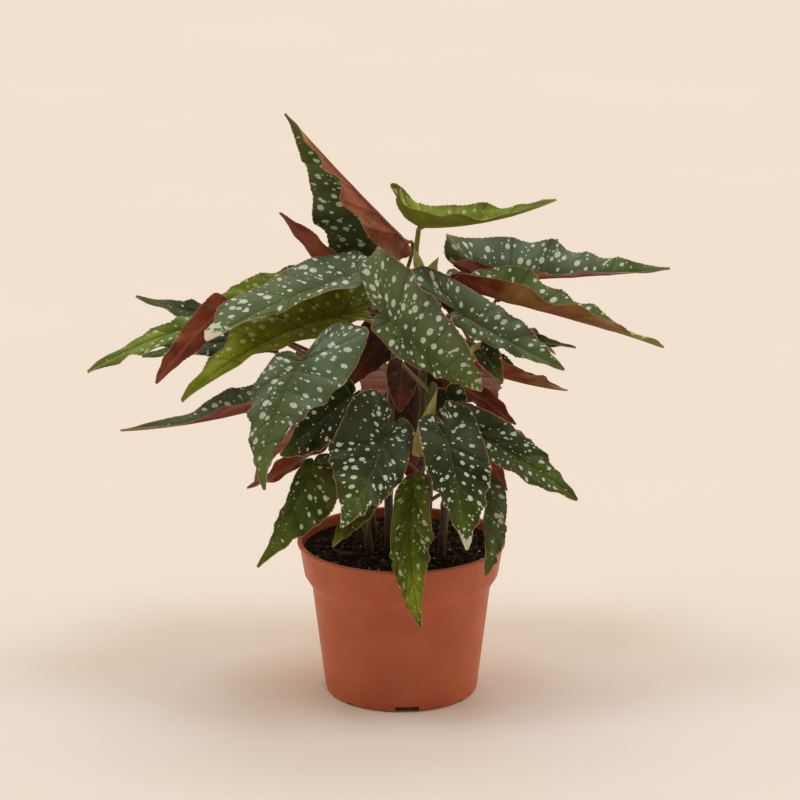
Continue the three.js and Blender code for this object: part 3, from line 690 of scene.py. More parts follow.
# %% Leaf table
# Name after leaf_, cane, foot of the midrib, tip, the way the upper face looks (azimuth and
# elevation in degrees), left half, right half, habit. A half is (width, place of the widest
# point, length of the basal lobe, fullness towards the tip), as shares of the midrib, and fold
# in degrees. The habit is what differs from HABIT below.
SMALL = [0.28, 0.1, 0.15, 0.4, 10]
LARGE = [0.34, 0.1, 0.28, 0.4, 10]
LEAVES = [
    ["centre", "crown", [-6, -52, 233], [44, -74, 200], [-110, 10],
      [0.52, -0.1, 0.56, 0.8, 17], [0.19, 0.23, 0.17, 0.5, 13], {"bow": 0.08}],
    ["front_left", "left", [-55, -55, 211], [-75, -80, 145], [-102, 19],
      [0.39, -0.05, 0.49, -0.15, 5], [0.24, 0.3, 0.05, 0.5, -6],
      {"bow": 0.05, "bend": 0.06, "from": 202}],
    ["left_broad", "crown", [-24, -17, 252], [-108, -47, 221], [-105, 55],
      [0.17, 0.04, 0.1, 0.3, 27], [0.28, 0.12, 0.12, 1.2, -12],
      {"bow": 0.02, "bend": 0.02, "lead": 0.38}],
    ["left_bright", "left", [-34, -10, 226], [-123, -30, 181], [-97, 55],
      [0.2, -0.1, 0.15, 0.1, 22], [0.22, 0.14, 0.27, 0.5, 15], {"bow": 0.11}],
    ["left_crest", "back_left", [-32, 28, 231], [-112, 25, 221], [-90, 50],
      [0.16, 0.1, 0.2, 0.6, 10], [0.19, 0.1, 0.2, 0.9, 15],
      {"bow": 0.09, "wave": 0.025, "waves": 5}],
    ["far_left_top", "back_left", [-85, 42, 210], [-153, 36, 225], [-90, 60],
      [0.25, 0.04, 0.3, 0.3, 10], [0.18, 0.09, 0.2, 0.3, 8], {"bow": -0.03, "bend": -0.02}],
    ["far_left", "back_left", [-93, 3, 222], [-177, -12, 193], [-96, 53],
      [0.13, 0.24, 0.2, 0.5, 16], [0.11, 0.05, 0.2, 0.6, 9], {"bow": 0.07}],
    ["left_red", "back_left", [-97, -14, 234], [-137, -32, 192], [71, 25],
      [0.17, 0.15, 0.03, 0.8, 5], [0.16, 0.1, 0.03, 0.3, 5],
      {"bow": 0.06, "lead": 0.35, "rise": 12, "from": 203}],
    ["far_left_low", "back_left", [-80, 22, 203], [-148, 10, 196], [-90, 60],
      [0.2, 0.1, 0.15, 0.4, 10], [0.16, 0.1, 0.15, 0.4, 10], {"bow": 0.04}],
    ["left_low", "left", [-62, -12, 178], [-158, -27, 163], [-91, 77],
      [0.18, -0.1, 0.3, 0.1, 64], [0.22, 0.07, 0.21, 0.1, 27], {"bow": -0.04}],
    ["crown_tall", "crown", [3, 15, 262], [-65, 15, 336], [-135, 10],
      [0.42, 0.2, 0.07, 0.1, 5], [0.2, 0.25, 0.07, 0.5, 100], {"bow": 0, "bend": -0.01}],
    ["crown_red", "crown", [-33, 14, 240], [-69, 20, 278], [71, 24],
      [0.19, 0.03, 0.12, 0.6, 9], [0.21, 0, 0.12, 0.4, 11], {"bow": 0.02}],
    ["crown_young", "young", [11, -2, 275], [87, 3, 289], [-90, 78],
      [0.2, -0.03, 0.22, 0.6, 39], [0.22, -0.1, 0.2, 0.2, 55],
      {"bow": -0.06, "fall": -4.2, "lead": 0}],
    ["right_top", "young", [54, 8, 242], [152, 8, 248], [-90, 53],
      [0.28, 0.08, 0.32, 0.3, 9], [0.13, -0.1, 0.28, 0.6, 85], {"bow": -0.02, "fall": -1.5}],
    ["right_folded", "right", [54, -18, 237], [147, -22, 210], [-80, 85],
      [0.22, 0.1, 0.2, 0.2, 44], [0.16, 0.1, 0.3, 1, 62], {"bow": 0.02, "bend": 0.02}],
    ["right_middle", "right", [35, -36, 232], [90, -50, 205], [-89, 32],
      [0.25, 0.2, 0.69, 0.5, 5], [0.15, 0.16, 0.12, 0.3, 12], {"bow": -0.01, "bend": 0.01}],
    ["right_behind", "back_right", [46, 50, 236], [91, 55, 254], [-90, 50],
      [0.14, 0.1, 0.3, 0.4, 15], [0.16, 0.1, 0.2, 0.4, 15], {"bow": 0.03}],
    ["right_slim", "back_right", [56, 20, 204], [100, 15, 200], [-90, 60],
      [0.14, 0.1, 0.2, 0.4, 15], [0.14, 0.1, 0.2, 0.4, 15], {"bow": 0.03}],
    ["right_red", "right", [32, 6, 195], [95, 6, 177], [-90, 85],
      [0.26, 0.1, 0.3, 0.4, 40], [0.26, 0.07, 0.2, 0.8, 77], {"bow": -0.03, "bend": 0.02}],
    ["right_small", "right", [46, -22, 207], [57, -25, 190], [-80, 20],
      [0.4, 0.1, 0.3, 0.4, 10], [0.3, 0.1, 0.2, 0.4, 10], {"bow": 0.03}],
    ["right_low", "right", [37, -35, 166], [98, -55, 131], [-78, 44],
      [0.22, 0.22, 0.29, 0.5, 3], [0.24, 0.2, 0.2, 0.6, 28], {"bow": 0.06, "from": 130}],
    ["right_brown", "right", [30, 16, 181], [66, 12, 155], [88, 34],
      [0.28, 0.1, 0.3, 0.4, 10], [0.24, 0.06, 0.2, 0.6, 5], {"bow": 0.03}],
    ["front_right", "front", [25, -55, 167], [36, -85, 112], [-75, 15],
      [0.34, 0.28, 0.41, 0.4, -5], [0.25, 0.23, 0.29, 0.3, 3], {"bow": 0.06}],
    ["front_dark", "right", [26, -17, 181], [35, -18, 153], [-85, 15],
      [0.34, 0.1, 0.2, 0.5, 0], [0.34, 0.1, 0.2, 0.5, 0], {"bow": 0}],
    ["front_middle", "front", [-9, -54, 167], [-33, -94, 128], [-87, 25],
      [0.29, 0.32, 0.29, 0.3, 4], [0.46, 0.28, 0.48, 0.2, 6], {"bow": 0.02, "bend": -0.03}],
    ["over_rim", "front", [7, -50, 141], [11, -75, 63], [-99, 5],
      [0.16, 0.35, 0.08, 0.2, 18], [0.13, 0.49, 0.05, 0.5, 10], {"bow": 0.05, "bend": 0.04}],
    ["rim_right", "front", [47, -40, 139], [47, -55, 86], [-69, 4],
      [0.21, 0.42, 0.05, 0.7, 14], [0.05, 0.09, 0.11, 0.4, 34], {"bow": 0.04}],
    ["low_red", "right", [43, -16, 152], [60, -22, 126], [90, 10],
      [0.28, 0.1, 0.3, 0.4, 10], [0.28, 0.1, 0.2, 0.4, 10], {"bow": 0.03}],
    ["low_left_red", "left", [-46, -6, 151], [-88, -14, 125], [80, 47],
      [0.27, 0.09, 0.15, 0.4, 9], [0.29, -0.06, 0.12, 0.7, 17], {"bow": -0.04, "bend": 0.03}],
    ["low_left_dark", "left", [-28, -25, 183], [-68, -35, 151], [-98, 41],
      [0.35, 0.15, 0.18, 0.9, 7], [0.29, 0.07, 0.12, 0.4, 9], {"bow": 0.04, "bend": -0.02}],
    ["low_left", "left", [-50, -25, 143], [-81, -45, 88], [-104, 15],
      [0.35, 0.22, 0.14, 0.1, 10], [0.1, 0.22, 0.05, 0.3, 20], {"bow": 0.02, "bend": -0.03}],
    ["inner_a", "front", [1, -22, 200], [-1, -24, 173], [85, 15],
      [0.34, 0.2, 0.15, 0.6, 10], [0.34, 0.2, 0.15, 0.6, 10], {"bow": 0.03}],
    ["inner_b", "crown", [-9, 14, 210], [-31, 10, 177], [80, 20],
      [0.34, 0.1, 0.3, 0.4, 10], [0.34, 0.1, 0.2, 0.4, 10], {"bow": 0.03}],
    ["inner_c", "young", [28, 19, 236], [38, 17, 207], [90, 20],
      [0.34, 0.1, 0.2, 0.4, 8], [0.34, 0.1, 0.2, 0.4, 8], {"bow": 0.03}],
    ["near_soil", "left", [-21, -30, 120], [-39, -42, 99], [-95, 60],
      [0.3, 0.1, 0.3, 0.4, 10], [0.3, 0.1, 0.2, 0.4, 10], {"bow": 0.03}],
    ["back_a", "back_right", [40, 68, 226], [74, 116, 200], [60, 50], LARGE, SMALL, {}],
    ["back_b", "back_left", [-26, 48, 248], [-50, 114, 214], [110, 45], SMALL, LARGE, {}],
    ["back_c", "back_right", [56, 52, 200], [92, 96, 174], [50, 50], LARGE, SMALL, {}],
    ["back_d", "back_left", [-58, 64, 212], [-106, 104, 180], [130, 50], SMALL, LARGE, {}],
    ["back_e", "back_right", [2, 54, 214], [4, 122, 162], [90, 45], LARGE, SMALL, {}],
    ["back_f", "back_right", [38, 52, 176], [54, 106, 132], [75, 40], LARGE, SMALL, {}],
    ["back_g", "back_left", [-38, 53, 184], [-68, 104, 136], [115, 40], SMALL, LARGE, {}],
    ["back_h", "back_left", [-4, 54, 176], [-8, 112, 122], [92, 35], LARGE, SMALL, {}],
    ["back_i", "crown", [0, 40, 236], [-8, 100, 208], [95, 60], SMALL, LARGE, {}],
    ["back_j", "back_right", [50, 46, 146], [84, 80, 104], [45, 40], LARGE, SMALL, {}],
    ["back_k", "back_left", [-52, 44, 144], [-88, 74, 100], [140, 40], SMALL, LARGE, {}],
    ["inner_d", "young", [9, 12, 186], [7, 14, 121], [90, 10],
      [0.24, 0.3, 0.08, 1, 6], [0.24, 0.3, 0.08, 1, 6], {"bow": 0.02}],
]
print("leaves:", len(LEAVES))

# %% [markdown]
# ## Leaf blades: their surface
# Two numbers place a point on half a blade: s runs along the edge from the notch at the foot
# round the basal lobe to the tip, and t runs along the side vein that ends there, from the
# midrib to the edge. So rows follow the veins, as they do on the leaf, and what follows the
# veins later, quilting, spots and colour, needs nothing but s and t.

# %% Outline of half a blade
LOBE_SHARE = 0.34
TIP_WIDTH = 0.012


def edge_of(half, s):
    """(ahead, aside) of the edge, as shares of the midrib: one Bezier curve round the lobe up
    to s = 0.34, and one from there to the tip."""
    width, widest, lobe, fullness = half[:4]
    rest = 1 - widest
    slope = min(0.4 * rest / (widest + 1.3 * lobe + 0.05), 1)
    t = s / LOBE_SHARE
    lobe_ahead = bezier(-0.6 * lobe, -1.15 * lobe, -1.3 * lobe, widest, t)
    lobe_aside = bezier(0.03 * width, 0.2 * width, 1.15 * width, width, t)
    t = (s - LOBE_SHARE) / (1 - LOBE_SHARE)
    ahead = bezier(widest, widest + 0.4 * rest, widest + rest * (0.55 + 0.3 * fullness), 1, t)
    full = width * (0.15 + 0.65 * fullness)
    aside = bezier(width, width * (1 - 0.15 * slope), full, TIP_WIDTH, t)
    inside_lobe = s < LOBE_SHARE
    return np.where(inside_lobe, lobe_ahead, ahead), np.where(inside_lobe, lobe_aside, aside)


def vein_foot(s):
    """Where the vein that ends at s leaves the midrib. All of a lobe's veins start at its foot."""
    start = 0.8 * LOBE_SHARE
    return np.maximum((s - start) / (1 - start), 0) ** 1.25


outline = np.round(edge_of(LARGE, np.linspace(0, 1, 4)), 2)
print("half a blade's edge, from notch to tip:", outline.tolist())

# %% Blade in space
# Arch of the midrib upwards and sideways, fall of the basal lobe, how far behind and below the
# foot the petiole aims, and height and number of the edge's waves. A row may also say "from",
# the height at which the petiole leaves its cane.
HABIT = dict(bow=0.06, bend=0, fall=0.3, lead=0.1, rise=14, wave=0.02, waves=3)


class Blade:
    """A leaf's own frame, and its surface as a function of s and t."""

    def __init__(self, row, number):
        self.name, self.cane, foot, tip, face, left, right, habit = row
        self.halves = (left, right)
        self.phase = (0.37 * number) % 1
        self.habit = dict(HABIT, **habit)
        self.foot = np.array(foot, float)
        self.chord = np.array(tip, float) - self.foot
        self.length = np.linalg.norm(self.chord)
        forward = unit(self.chord)
        azimuth, elevation = np.radians(face)
        level = np.cos(elevation)
        up = np.array([level * np.cos(azimuth), level * np.sin(azimuth), np.sin(elevation)])
        self.up = unit(up - up @ forward * forward)
        side = np.cross(forward, self.up)
        self.arch = (self.habit["bow"] * self.up + self.habit["bend"] * side) * self.length

    def frame_at(self, x):
        """The midrib is its chord plus 4 x (1 - x) times its arch. Up and right are square to
        it."""
        x = x[..., None]
        foot = self.foot + x * self.chord + 4 * x * (1 - x) * self.arch
        along = unit(self.chord + 4 * (1 - 2 * x) * self.arch)
        up = unit(self.up - (along @ self.up)[..., None] * along)
        return foot, along, up, np.cross(along, up)

    def surface(self, side, s, t):
        """The middle sheet's points. A vein is straight from the midrib to the edge, the fold
        tips the half up, waves lift the edge, and the basal lobe falls away behind the foot."""
        half, habit = self.halves[side > 0], self.habit
        ahead, aside = edge_of(half, s)
        x = (1 - t) * vein_foot(s) + t * ahead
        y = t * aside
        place = np.clip(x, 0, 1)
        foot, along, up, right = self.frame_at(place)
        behind = np.maximum(-x, 0)
        fold = np.radians(half[4] * (1 - 0.5 * place))
        ripple = 2 * np.pi * (habit["waves"] * s + self.phase + (0.25 if side > 0 else 0))
        edge = habit["wave"] * t * t * np.sin(ripple) * np.sin(np.pi * np.clip(s, 0, 1)) ** 0.4
        lift = y * np.sin(fold) + edge - habit["fall"] * behind**2
        moves = (-behind, side * y * np.cos(fold), lift)
        for move, way in zip(moves, (along, right, up)):
            foot = foot + (move * self.length)[..., None] * way
        return foot, x, y


blades = [Blade(row, number) for number, row in enumerate(LEAVES)]
longest = max(blades, key=lambda blade: blade.length)
print("longest blade:", longest.name, round(longest.length), "mm")

# %% [markdown]
# ## Leaf blades: their finish
# The upper face is deep olive green to bright green, with silvery white spots between the
# veins and a pale brown line at the edge. On some leaves a pale grey-green veil is painted into
# the colour: a painted sheen, standing for the lamps' reflection. The lower face is crimson with
# paler ribs. A photograph wrapped round the leaf would be simple, but a pattern from cells
# scales to every leaf: each cell of a Voronoi pattern, laid along the veins, grows one spot of a
# random size. The mesh hands over three sets of values for this: "blade" is how far a point is
# from midrib, edge and vein, the next is its age, with painted light and shade in it, its
# painted sheen and its cream, and "cell" is how the veins run there, so that the spots keep
# their shape where the veins fan out.

# %% Spots
UV_UNIT = 100  # millimetres
OVAL = 1.5  # a spot's length by its width
WIDEST_SPOT = 0.36  # greatest radius by the width of its cell
# Each layer's cell across and along the veins, smallest and largest radius of its spots, in
# millimetres, and shift. A cell whose radius comes out below 0 has no spot.
SPOT_LAYERS = [
    (7.6, 8.8, 0.75, 1.6, 0.0), (6.0, 7.5, -2.6, 1.0, 13.7), (3.6, 4.4, -1.6, 0.5, 31.1),
]


def spots(finish, across, along, least, most, shift):
    """How far each point is from the middle of its cell's spot, and that spot's radius.

    One cell is across by along millimetres where the veins are widest apart. The way to its
    middle is known in cells, and the mesh says how far a step from vein to vein goes there,
    along the vein and across it. A spot is an oval half as long again as wide, no wider than
    its cell, and the mesh gives its leaf's share of the full size."""
    skew, wide, share_of_size = finish.attribute("cell")
    place = finish.node("UVMap", uv_map="veins")
    for vector, operation in (
        ((UV_UNIT / across, UV_UNIT / along, 0), "MULTIPLY"), ((shift, shift, 0), "ADD"),
    ):
        place = finish.node("VectorMath", place, vector, operation=operation)
    cells = finish.tree.nodes.new("ShaderNodeTexVoronoi")
    cells.voronoi_dimensions = "2D"
    cells.inputs["Scale"].default_value = 1
    cells.inputs["Randomness"].default_value = 0.75
    finish.tree.links.new(place, cells.inputs["Vector"])
    off = finish.node("VectorMath", place, cells.outputs["Position"], operation="SUBTRACT")
    off = finish.node("VectorMath", off, (across, along, 0), operation="MULTIPLY")
    off_u, off_v, _ = finish.parts(off)
    ahead = finish.math("ADD", off_v, finish.math("MULTIPLY", off_u, skew))
    aside = finish.math("MULTIPLY", off_u, wide)
    oval = finish.node("CombineXYZ", finish.math("DIVIDE", ahead, OVAL), aside, 0.0)
    distance = finish.node("VectorMath", oval, output=1, operation="LENGTH")
    warp = finish.math("SUBTRACT", finish.noise(330, 1), 0.5)
    distance = finish.math("ADD", distance, finish.math("MULTIPLY", warp, 0.5))
    share = finish.parts(cells.outputs["Color"])[0]
    radius = finish.math("MULTIPLY", finish.ramp(share, 0.0, 1.0, least, most), share_of_size)
    radius = finish.math("MINIMUM", radius, finish.math("MULTIPLY", wide, WIDEST_SPOT * across))
    radius = finish.math("MULTIPLY", radius, finish.ramp(wide, 0.1, 0.45))
    return distance, radius


print("layers of spots:", len(SPOT_LAYERS))

# %% Upper face
SHINE = (1, 0.93, 0.66)
upper = Finish(
    "leaf_upper", Roughness=0.4, Specular_IOR_Level=0.15, Specular_Tint=SHINE,
    Sheen_Weight=0.07, Sheen_Tint=SHINE,
)
midrib, edge, vein = upper.attribute("blade")
age_and_light, painted_sheen, cream = upper.attribute("grow")
mottle = upper.cloud(70, 3, 0.3, 0.7)
dark = upper.mix(mottle, (0.007, 0.012, 0.003), (0.028, 0.042, 0.009))
medium = upper.mix(mottle, (0.046, 0.076, 0.008), (0.092, 0.134, 0.017))
# bright is the young leaves' own light green, with the light shining through them painted in.
bright = upper.mix(mottle, (0.135, 0.200, 0.006), (0.270, 0.350, 0.020))
# The green follows the age value: lighter for young leaves, and, with painted light and shade in
# it, lighter for leaves that face the lamps and darker for leaves in shade.
green = upper.mix(upper.ramp(age_and_light, 0.0, 0.5), dark, medium)
green = upper.mix(upper.ramp(age_and_light, 0.5, 1.0), green, bright)
# Painted sheen: a pale grey-green veil, standing for the lamps' reflection, over the green of the
# leaves that face the lamps, weaker near the midrib and patchy.
painted_sheen = upper.math("MULTIPLY", painted_sheen, upper.ramp(midrib, 1.0, 15.0, 0.5, 1.1))
painted_sheen = upper.math("MULTIPLY", painted_sheen, upper.cloud(38, 2, 0.35, 0.65, 0.7, 1.15))
green = upper.mix(painted_sheen, green, (0.148, 0.205, 0.126))
warmth = upper.cloud(45, 2, 0.35, 0.65, 0.1, 0.6)
green = upper.stain(green, upper.ramp(edge, 4.5, 0.5), warmth, (0.060, 0.052, 0.010))
green = upper.stain(green, upper.ramp(vein, 1.4, 0.1), 0.4, (0.012, 0.022, 0.008))
green = upper.stain(green, upper.ramp(midrib, 0.7, 0.3), 0.25, (0.14, 0.15, 0.06))

spotted = 0.0
clear = upper.ramp(midrib, 1.5, 6.0, 0.3, 1.0)
clear = upper.math("MULTIPLY", upper.ramp(edge, 0.8, 5.0, 0.45, 1.0), clear)
for layer in SPOT_LAYERS:
    distance, radius = spots(upper, *layer)
    radius = upper.math("MULTIPLY", radius, clear)
    radius = upper.math("ADD", radius, upper.math("MULTIPLY", cream, 1.6))
    inside = upper.ramp(upper.math("SUBTRACT", radius, distance), -0.14, 0.14)
    spotted = upper.math("MAXIMUM", inside, spotted)
flecks = upper.cloud(1300, 2, 0.35, 0.65)
spot_colour = upper.mix(flecks, (0.50, 0.58, 0.46), (0.68, 0.76, 0.62))
spot_colour = upper.mix(upper.ramp(age_and_light, 0.45, 0.9), spot_colour, (0.44, 0.54, 0.20))
leaf = upper.stain(green, spotted, 0.93, spot_colour)
margin = upper.mix(upper.cloud(60, 2, 0.4, 0.6), (0.36, 0.17, 0.09), (0.50, 0.36, 0.22))
leaf = upper.stain(leaf, upper.ramp(edge, 0.7, 0.2), 0.75, margin)
upper.paint("Base Color", upper.mix(upper.ramp(cream, 0.6, 1.0), leaf, (0.68, 0.58, 0.45)))
upper.paint("Roughness", upper.cloud(400, 3, 0.3, 0.7, 0.32, 0.44))
upper.bump(upper.noise(1500, 3), 0.00015, 0.7)
print("finish:", upper.material.name)

# %% Lower face
lower = Finish("leaf_lower", Roughness=0.45, Specular_IOR_Level=0.3)
midrib, edge, vein = lower.attribute("blade")
age_and_light = lower.attribute("grow")[0]
mottle = lower.cloud(70, 3, 0.3, 0.7)
# An age value below 0, for the leaves deep inside the plant, turns the wine and the ribs near
# black: painted shade.
outside_painted_shade = lower.ramp(age_and_light, -0.5, 0.1)
wine = lower.mix(mottle, (0.145, 0.022, 0.006), (0.290, 0.066, 0.024))
wine = lower.mix(outside_painted_shade, (0.040, 0.010, 0.004), wine)
olive = lower.mix(mottle, (0.240, 0.130, 0.022), (0.360, 0.210, 0.050))
fresh = lower.mix(mottle, (0.150, 0.190, 0.012), (0.230, 0.280, 0.025))
patches = lower.cloud(28, 2, 0.35, 0.65, 0.0, 0.45)
red = lower.mix(lower.ramp(lower.math("ADD", age_and_light, patches), 0.5, 1.0), wine, olive)
red = lower.mix(lower.ramp(age_and_light, 0.7, 1.0), red, fresh)
distance, radius = spots(lower, *SPOT_LAYERS[0])
pale = lower.ramp(lower.math("SUBTRACT", radius, distance), -0.4, 0.4)
red = lower.stain(red, pale, 0.22, (0.34, 0.14, 0.09))
ribs = lower.mix(outside_painted_shade, (0.08, 0.020, 0.010), (0.26, 0.075, 0.045))
ribs = lower.mix(lower.ramp(age_and_light, 0.5, 0.9), ribs, (0.26, 0.28, 0.05))
red = lower.stain(red, lower.ramp(vein, 0.8, 0.2), 0.4, ribs)
red = lower.stain(red, lower.ramp(midrib, 1.3, 0.6), 0.7, ribs)
lower.paint("Base Color", lower.mix(lower.ramp(edge, 0.5, 0.15), red, (0.38, 0.19, 0.10)))
lower.bump(lower.noise(1200, 3), 0.00015, 0.7)
print("finish:", lower.material.name)

# %% [markdown]
# ## Leaf blades: the mesh
# A blade is about half a millimetre thick. The middle sheet gets its quilting first, up
# between the veins and down along them. Then it is doubled: one skin half the thickness above
# it, one below it, and a rim between them. Along the midrib the upper skin has a groove and the
# lower one a rib. Last the blade is made a five-hundredth smaller, so that no tip stands out of
# the box that the plain solids fill.

# %% Rows and columns of a blade
VEINS = 7
COLUMN_PLACES = np.array(
    [0, 0.025, 0.06, 0.11, 0.18, 0.27, 0.37, 0.48, 0.59, 0.70, 0.80, 0.885, 0.95, 1]
)
ROW_STEP = 1.25
FEWEST_ROWS, MOST_ROWS = 34, 130


def row_places(blade):
    """Values of s at even steps along the edge, in the mean of both halves, and its length."""
    fine = np.linspace(0, 1, 801)
    travel = 0
    for side in (-1, 1):
        points, _, _ = blade.surface(side, fine, np.ones_like(fine))
        travel = travel + np.linalg.norm(np.diff(points, axis=0), axis=1) / 2
    travel = np.concatenate([[0], np.cumsum(travel)])
    count = int(np.clip(travel[-1] / ROW_STEP, FEWEST_ROWS, MOST_ROWS))
    return np.interp(np.linspace(0, travel[-1], count + 1), travel, fine), travel[-1]


def normals_of(points, faces):
    """At each point, the sum of its faces' normals, made one long."""
    p, q, r = (points[faces[:, k]] for k in range(3))
    normal = np.cross(q - p, r - p)
    total = np.zeros_like(points)
    for k in range(3):
        np.add.at(total, faces[:, k], normal)
    return unit(total)


print("columns on half a blade:", len(COLUMN_PLACES))

# %% Blade sheet
THICKNESS = 0.56
QUILT = 1.1
RIB = 0.75
GROOVE = 0.25
NOTCH = 3.4  # depth of the notches between the ends of the veins
TOOTH = 0.8
PROUD = 0.9  # how far the ends of the veins stand out
FRESHER = 0.4  # how much younger a tip looks than its foot
RUFFLE = 2.3
CALM_RUFFLE = 0.5  # for the blades that a stronger wave would push into their neighbours
CALM = {
    "front_right", "right_low", "back_f", "back_h", "left_low", "low_left_dark", "crown_red",
    "left_broad",
}
# The lengths of edge, blade and vein, in millimetres, from which these have their full size.
NOTCH_EDGE, QUILT_BLADE = 110, 90
NOTCH_VEIN, QUILT_VEIN, RUFFLE_VEIN = 14, 15, 24
NO_VEIN = 9  # stands for the distance from a vein near the notch and the tip, in millimetres
YOUNG = {
    "left_bright", "crown_young", "left_crest", "right_folded", "over_rim", "low_left", "back_i",
}
# Age from -0.5 to 1, young, with painted light and shade in it: each leaf's age is raised where it
# faces the lamps and lowered where it is in shade, and below 0 it is painted shade for the leaves
# deep inside the plant. Then painted sheen; size of the spots; cream at the tip and at the edge.
ORDINARY = (0.16, 0.07, 1.0, 0.0, 0.0)
TONES = {
    "centre": (0.42, 0.44, 1.05, 0.5, 0.0),
    "front_left": (0.44, 0.62, 0.95, 0.1, 0.0),
    "left_broad": (0.33, 0.58, 1.1, 1.0, 0.1),
    "left_bright": (0.95, 0.04, 0.8, 0.0, 0.0),
    "left_crest": (0.8, 0.0, 0.7, 0.0, 0.25),
    "far_left": (0.85, 0.45, 1.0, 0.1, 0.0),
    "left_low": (0.35, 0.45, 1.0, 0.0, 0.0),
    "crown_young": (1.1, 0.05, 0.7, 0.0, 0.0),
    "crown_tall": (0.38, 0.15, 1.0, 0.0, 0.0),
    "right_top": (0.3, 0.56, 1.0, 0.0, 0.0),
    "right_folded": (0.6, 0.15, 1.0, 0.3, 0.1),
    "right_middle": (0.38, 0.56, 1.0, 0.0, 0.0),
    "right_slim": (0.4, 0.1, 0.8, 0.0, 0.0),
    "right_low": (0.24, 0.06, 0.85, 0.0, 0.0),
    "front_right": (0.18, 0.07, 0.8, 0.7, 0.3),
    "front_middle": (0.18, 0.08, 0.78, 0.4, 0.2),
    "over_rim": (0.74, 0.04, 0.8, 0.2, 0.0),
    "rim_right": (0.38, 0.65, 0.95, 0.0, 0.0),
    "low_left": (0.46, 0.03, 0.8, 0.1, 0.0),
    "low_left_dark": (0.0, 0.0, 0.8, 0.0, 0.0),
    "near_soil": (0.5, 0.0, 0.8, 0.0, 0.0),
    **dict.fromkeys(("inner_a", "inner_b", "inner_c", "inner_d"), (-0.35, 0.0, 0.8, 0.0, 0.0)),
    "back_i": (0.6, 0.0, 0.8, 0.0, 0.0),
}


def edge_cut(dice, s, edge_length):
    """How far the edge is cut back: nothing where a vein ends, a steep step just before it and
    a slow run out to the next, so that each vein ends in a point that looks ahead. Each notch
    has a random depth, and every other row has a small tooth. The points stand a little proud."""
    phase = VEINS * s + 0.5
    between = 1 - np.abs((phase % 1) * 2 - 1)
    between = np.where(phase % 1 < 0.5, between, between**0.45)
    notch = NOTCH * dice.uniform(0.25, 1.0, VEINS + 2)[phase.astype(int)] * between
    tooth = TOOTH * dice.uniform(0.1, 1.0, len(s)) * (np.arange(len(s)) % 2)
    cut = notch * min(edge_length / NOTCH_EDGE, 1) + tooth - PROUD
    return cut * smooth(0, 0.06, s) * smooth(1, 0.93, s)


def blade_sheet(blade, seed):
    """Both halves as one grid, left edge to right edge, with the values at its points."""
    dice = np.random.default_rng(seed)
    s, edge_length = row_places(blade)
    cuts = [edge_cut(dice, s, edge_length) for _ in range(2)]
    s = s[:, None] + 0 * COLUMN_PLACES
    t = COLUMN_PLACES + 0 * s
    shift = dice.uniform(0, 90, 2)
    parts = []
    for side, cut in zip((-1, 1), cuts):
        points, x, y = blade.surface(side, s, t)
        foot, end = points[:, :1], points[:, -1:]
        vein_length = np.linalg.norm(end - foot, axis=-1)
        cut = cut * np.minimum(vein_length[:, 0] / NOTCH_VEIN, 1)
        points = points + (t**5 * cut[:, None])[..., None] * unit(foot - end)
        phase = VEINS * s
        pitch = np.linalg.norm(np.gradient(points, s[:, 0], axis=0), axis=-1) / VEINS
        vein = np.abs((phase % 1) - 0.5) * pitch
        vein = np.where((phase > VEINS - 0.9) | (phase < 0.3), NO_VEIN, vein)
        midrib = blade.length * np.hypot(np.maximum(-x, 0), y)
        edge = (1 - t) * vein_length
        quilt = (1 - np.exp(-vein / 2.0)) * np.sin(np.pi * np.clip(t, 0, 1) ** 0.8) ** 0.7
        quilt = quilt * QUILT * min(blade.length / QUILT_BLADE, 1)
        quilt = quilt * np.minimum(vein_length / QUILT_VEIN, 1)
        waves = np.sin(2 * np.pi * (0.8 * phase + dice.uniform()))
        waves = waves * smooth(0, 0.1, s) * smooth(1, 0.86, s)
        ruffle = CALM_RUFFLE if blade.name in CALM else RUFFLE
        quilt = quilt + ruffle * t**3 * waves * np.minimum(vein_length / RUFFLE_VEIN, 1)
        uv = np.stack([edge_length * s, side * t * vein_length], -1) + shift
        step_u = np.gradient(points, s[:, 0], axis=0) / edge_length
        step_v = (end - foot) / vein_length[..., None]
        skew = side * (step_u * step_v).sum(-1)
        wide = np.linalg.norm(np.cross(step_u, np.broadcast_to(step_v, step_u.shape)), axis=-1)
        value, metric = np.stack([midrib, edge, vein], -1), np.stack([skew, wide], -1)
        parts.append((points, value, metric, uv / UV_UNIT, quilt, t, vein_foot(s)))
    return [np.concatenate([left[:, :0:-1], right], axis=1) for left, right in zip(*parts)]


print("notches up to", NOTCH, "mm, quilting up to", QUILT, "mm")

# %% Blade mesh
SHELL_SHARE = 0.998  # keeps the fine blades inside the plain ones' outermost points


